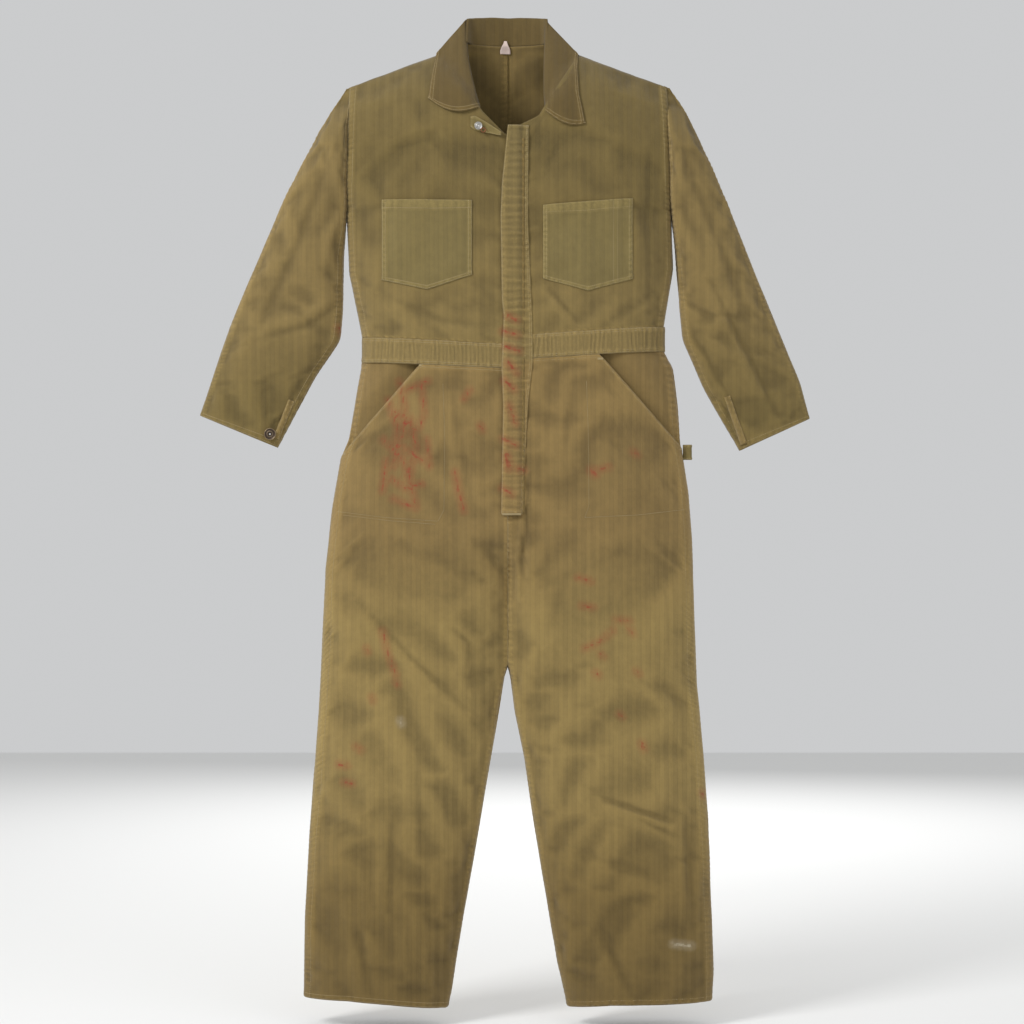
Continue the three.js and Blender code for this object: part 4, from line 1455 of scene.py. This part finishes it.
def makeTack(name, place, outwards, length, body, node):
    # a flat cap behind the cloth with a pin that ends in the head
    deselectAll()
    bpy.ops.mesh.primitive_cylinder_add(vertices=20, radius=tack["radius"], depth=tack["cap"])
    cap = freshMesh(name, steel)
    bpy.ops.mesh.primitive_cylinder_add(vertices=12, radius=tack["pin"], depth=length, location=(0, 0, length / 2))
    pin = freshMesh(name + "_pin", steel)
    deselectAll()
    pin.select_set(True)
    cap.select_set(True)
    bpy.context.view_layer.objects.active = cap
    bpy.ops.object.join()
    bpy.ops.object.shade_smooth_by_angle(angle=math.radians(40))
    x, y, z = readPoints(cap.data).T
    writePoints(cap.data, x + place[0], outwards * z + place[1], place[2] - outwards * y)
    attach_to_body(cap, body)
    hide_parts(node)


frontButton = {"x": 0.008, "y": -0.0559, "radius": 0.0085, "tackY": -0.0492, "tackLength": 0.0075}
cuffButton = {"x": 0.391, "y": 0.0185, "z": -0.646, "radius": 0.0095, "tackGap": 0.0085, "tackLength": 0.0088}
neckButton = {"place": (-0.048, -0.0600, -0.146), "radius": 0.0062, "tackY": -0.0500, "tackLength": 0.0098}
neckRing = {"place": (-0.040, -0.0597, -0.153), "radius": 0.0034, "wire": 0.001}


def makeButtons():
    master = makeButtonHead()
    button = frontButton
    for number, z in enumerate(buttonHeights, 1):
        name = f"front_button_{number}"
        place = (button["x"], button["y"], z)
        node = f"front_button_head_{number}"
        placeHead(master, name + "_ring", place, button["radius"], -1, name, node, bronze)
        place = (button["x"], button["tackY"], z)
        node = f"front_button_tack_{number}"
        makeTack(name + "_tack_metal", place, -1, button["tackLength"], "root", node)
    button = cuffButton
    for side, outwards in (("right", -1), ("left", 1)):
        name = f"cuff_button_{side}"
        x, y = sides[side] * button["x"], outwards * button["y"]
        place = (x, y, button["z"])
        placeHead(master, name + "_ring", place, button["radius"], outwards, name, name + "_head", bronze)
        place = (x, y - outwards * button["tackGap"], button["z"])
        makeTack(name + "_tack_metal", place, outwards, button["tackLength"], f"sleeve_{side}", name + "_tack")
    button = neckButton
    place = button["place"]
    placeHead(master, "neck_button_ring", place, button["radius"], -1, "neck_button", "neck_button_head", steel)
    place = (place[0], button["tackY"], place[2])
    makeTack("neck_button_tack_metal", place, -1, button["tackLength"], "root", "neck_button_tack")
    bpy.data.objects.remove(master)


def makeNeckRing():
    deselectAll()
    bpy.ops.mesh.primitive_torus_add(
        major_segments=28, minor_segments=10, major_radius=neckRing["radius"], minor_radius=neckRing["wire"]
    )
    ring = freshMesh("neck_ring_metal", copper)
    x, y, z = readPoints(ring.data).T
    place = neckRing["place"]
    writePoints(ring.data, x + place[0], z + place[1], y + place[2])
    ring.data.shade_smooth()
    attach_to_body(ring, "root")
    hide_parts("neck_ring")


# Collar.
collarBack = {
    **small,
    "size": (0.15, 0.125),
    "cloth": suitTwill,
    "slot": "suit_cloth",
    "seams": {"bottom": 6},
    "stitches": [("bottom", (2, 5))],
    "half": 0.0685,
    "rise": 0.045,
    "drop": -0.03,
}
collarLeaf = {
    **small,
    "size": (0.07, 0.15),
    "cloth": suitTwill,
    "slot": "suit_cloth",
    "seams": {"outer": 6, "bottom": 6},
    "stitches": [("outer", (1.8, 6)), ("bottom", (1.8, 6))],
}
leafLines = {
    # the roll line and the outer edge in mm, from the neck down; then how far the lower edge sags
    "right": (
        [(68.5, 6, 41), (67.5, -1, 20), (66.5, -12, -5), (64, -24, -32)]
        + [(58, -36, -62), (52, -46, -88), (45, -53, -114)],
        [(118, -7, -18), (121, -16, -38), (126, -30, -68), (130, -41, -97)],
        0.017,
    ),
    "left": (
        [(62, 6, 39), (60.5, -1, 20), (59.5, -12, -5), (58.5, -24, -32)]
        + [(58, -36, -62), (58, -46, -90), (60, -53, -120)],
        [(116, -7, -20), (114, -18, -45), (116, -32, -90), (126, -44, -140)],
        0.012,
    ),
}


def collarBackPlace(s, t):
    # up the stand, over the rolled edge and down the fall behind
    side = 2 * s - 1
    wide = collarBack["half"] + 0.012 * smooth((t - 0.5) / 0.5)
    x = wide * side - 0.003 * s
    seatX = collarBack["half"] * side - 0.003 * s
    roll = collarBack["rise"] - 0.006 * np.abs(side) ** 3
    seat = backDepthAt(seatX, 0 * s - 0.0001, "left")
    crest = roll + 0.003 * np.sin(np.pi * (t - 0.42) / 0.12)
    down = roll + (collarBack["drop"] - roll) * (t - 0.54) / 0.46
    z = np.where(t < 0.42, roll * t / 0.42, np.where(t < 0.54, crest, down))
    fall = backDepthAt(x, np.minimum(z, 0), "left")
    turn = smooth((t - 0.42) / 0.12)
    # the stand runs forward at its sides, to the roll lines of the leaves
    forward = np.interp(z, [-0.005, 0.020, 0.041], [-0.011, 0.0, 0.007])
    wrap = smooth((np.abs(side) - 0.86) / 0.14)
    stand = (seat + 0.0012) * (1 - wrap) + np.minimum(forward, seat) * wrap
    y = stand * (1 - turn) + (fall + 0.0065 + 0.0015 * smooth((t - 0.54) / 0.1)) * turn
    return x, y, z


def makeCollarLeaf(side):
    sign = sides[side]
    rolls, outer, sag = leafLines[side]

    def along(points, t):
        shares = np.linspace(0, 1, len(points))
        return [np.interp(t, shares, [p[k] * mm for p in points]) for k in range(3)]

    def place(s, t):
        # s runs outwards from the roll line, t runs down from the neck
        a, b = along(rolls, t), along(outer, t)
        x = a[0] + (b[0] - a[0]) * s
        z = a[2] + (b[2] - a[2]) * s - sag * np.sin(np.pi * np.clip(s * 0.95, 0, 1)) * t**4
        ruled = a[1] + (b[1] - a[1]) * s
        rest = frontSurface(sign * x, z, 0.02) - 0.0028
        y = np.minimum(ruled, rest)
        y = y - 0.0022 * np.sin(np.pi * np.clip(s * 1.3, 0, 1)) * smooth(t * 5)
        y = y + 0.0050 * (1 - smooth(s / 0.08)) ** 2
        for _ in range(4):
            y[1:-1, 1:-1] = neighbours(y) / 4
        return sign * x, y, z

    name = "collar_leaf_" + side
    sewPiece(name + "_cloth", place, collarLeaf, "collar", [name], body=name)


# Tab, tag and loop.
neckTab = {
    **small,
    "size": (0.046, 0.024),
    "fine": 0.0016,
    "seams": {"outer": 4, "top": 4, "bottom": 4},
    "stitches": [("top", (1.8,)), ("bottom", (1.8,)), ("outer", (1.8,))],
    "left": -0.061,
    "long": 0.050,
}
neckTag = {
    **small,
    "size": (0.016, 0.021),
    "fine": 0.0012,
    "cloth": tagTape,
    "slot": "tag_cloth",
    "seams": {},
    "stitches": [("top", (1.5,))],
    "middle": -0.0045,
    "wide": 0.017,
}
toolLoop = {
    **small,
    "size": (0.025, 0.045),
    "fine": 0.0016,
    "seams": {"inner": 3, "outer": 3},
    "stitches": [("inner", (1.8,)), ("outer", (1.8,))],
    "x": 0.2885,
    "top": -0.663,
    "wide": 0.025,
    "straight": 0.0105,
    "radius": 0.0043,
}


def tabPlace(s, t):
    # the throat tab: its free end curls off the chest
    x = neckTab["left"] + neckTab["long"] * s
    blunt = 0.004 * (1 - smooth(s / 0.14))
    top, bottom = -0.127 - 0.029 * s**1.3 - blunt, -0.151 - 0.011 * s + blunt
    z = top + (bottom - top) * t
    curl = 0.0065 * np.maximum(0, s - 0.45) ** 2 * 3
    y = np.minimum(frontSurface(x, z, -0.0532), -0.0532) - 0.0018 - curl
    return x, y, z


def tagPlace(s, t):
    # a folded tape: a narrow top spreads to a wide foot
    z = 0.008 - 0.020 * t
    share = 0.28 + 0.72 * smooth(t * 1.25)
    x = neckTag["middle"] + neckTag["wide"] * (s - 0.5) * share
    y = backDepthAt(x, np.minimum(z, 0), "left") - 0.0024 - 0.0008 * np.sin(t * 5)
    return x, y, z


def loopPlace(s, t):
    # a narrow strip folded into an open loop: t runs round it, s across its width
    straight, radius = toolLoop["straight"], toolLoop["radius"]
    around = t * 2
    bend = np.clip((around - 0.6) / 0.8, 0, 1) * np.pi
    back = np.where(around > 1.4, straight * (2 - around) / 0.6, straight + radius * np.sin(bend))
    x = np.where(around < 0.6, straight * around / 0.6, back)
    y = radius * np.cos(bend) * (0.25 + 0.75 * smooth(x / 0.009))
    return toolLoop["x"] + x, -y, toolLoop["top"] - toolLoop["wide"] * s


for strip in strips:
    makeStrip(strip)
makeFlyFlap()
makeButtons()
makeNeckRing()
sewPiece("collar_back_cloth", collarBackPlace, collarBack, "collar", ["collar_stand", "collar_fall"])
for side in sides:
    makeCollarLeaf(side)
sewPiece("neck_tab_cloth", tabPlace, neckTab, "pocket", ["neck_tab"])
sewPiece("neck_tag_cloth", tagPlace, neckTag, "pocket", ["neck_tag"])
sewPiece("tool_loop_cloth", loopPlace, toolLoop, "pocket", ["tool_loop"], body="tool_loop")


# The slit above the cuff: its under edge stands off the sleeve, and a narrow binding runs along it.
vent = {
    **small,
    "size": (0.010, 0.078),
    "fine": 0.002,
    "slot": "suit_cloth",
    "seams": {"inner": 3, "outer": 3},
    "stitches": [("inner", (1.4,)), ("outer", (1.4,))],
    # its top and its foot in mm
    "left": ((356, -586), (384, -664)),
    "right": ((352, -592), (378, -655)),
}


def makeVent(side):
    sign = sides[side]
    top, foot = vent[side]

    def place(s, t):
        x = (top[0] + (foot[0] - top[0]) * t) * mm + 0.010 * s - 0.001
        z = (top[1] + (foot[1] - top[1]) * t) * mm + 0.0035 * s
        raised = 0.0022 * np.sin(np.pi * np.clip(s, 0, 1)) * smooth(t * 3) + 0.0012
        return sign * x, frontSurface(sign * x, z, -0.008) - raised, z

    sewPiece("cuff_vent_" + side + "_cloth", place, vent, "sleeve", [], zone=sleeveZone(side))


for side in sides:
    makeVent(side)
print("closure, collar and trims made")


def seamLine(name, points):
    # a row of stitches along points in mm on the front, with the cloth's own surface below it
    knots = np.array(points, float) * mm
    length = np.concatenate([[0], np.cumsum(np.hypot(*np.diff(knots, axis=0).T))])
    places = np.arange(0, length[-1], 0.004)
    x = np.interp(places, length, knots[:, 0])
    z = np.interp(places, length, knots[:, 1])
    dx, dz = np.gradient(x), np.gradient(z)
    size = np.hypot(dx, dz)
    offset = np.array([[-0.002], [0], [0.002]])
    gx, gz = x[None] + offset * (-dz / size), z[None] + offset * (dx / size)
    grid = np.stack([gx, frontSurface(gx, gz, -0.05) - 0.0002, gz], axis=-1)
    if rowNormals(grid)[..., 1].mean() > 0:
        grid = grid[::-1]
    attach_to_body(stitchesOn(name, grid, [[(1, c) for c in range(grid.shape[1])]]), "root")


bagSeams = {
    "bag_foot_right": [(-290, -772), (-200, -783), (-114, -789)],
    "bag_foot_left": [(125, -783), (210, -779), (290, -770)],
    "bag_side_right": [(-114, -789), (-104, -770), (-103, -640), (-106, -560)],
    "bag_side_left": [(125, -783), (132, -765), (131, -650), (128, -560)],
    "bag_second_right": [(-270, -779), (-195, -788), (-118, -794)],
}
for name, points in bagSeams.items():
    seamLine(name + "_thread", points)

for side, sign in sides.items():
    for corner in slashRows[side]:
        x, z = corner[0] * mm * 0.985, corner[1] * mm
        depth = float(trouserDepthAt(np.array([x]), np.array([z]), side)[0])
        barTack(sign * x, z - 0.004, 0.010, -(depth + 0.0012), "root")
barTack(0.006, -0.7775, 0.03, -0.0602, "root")

makeStage()
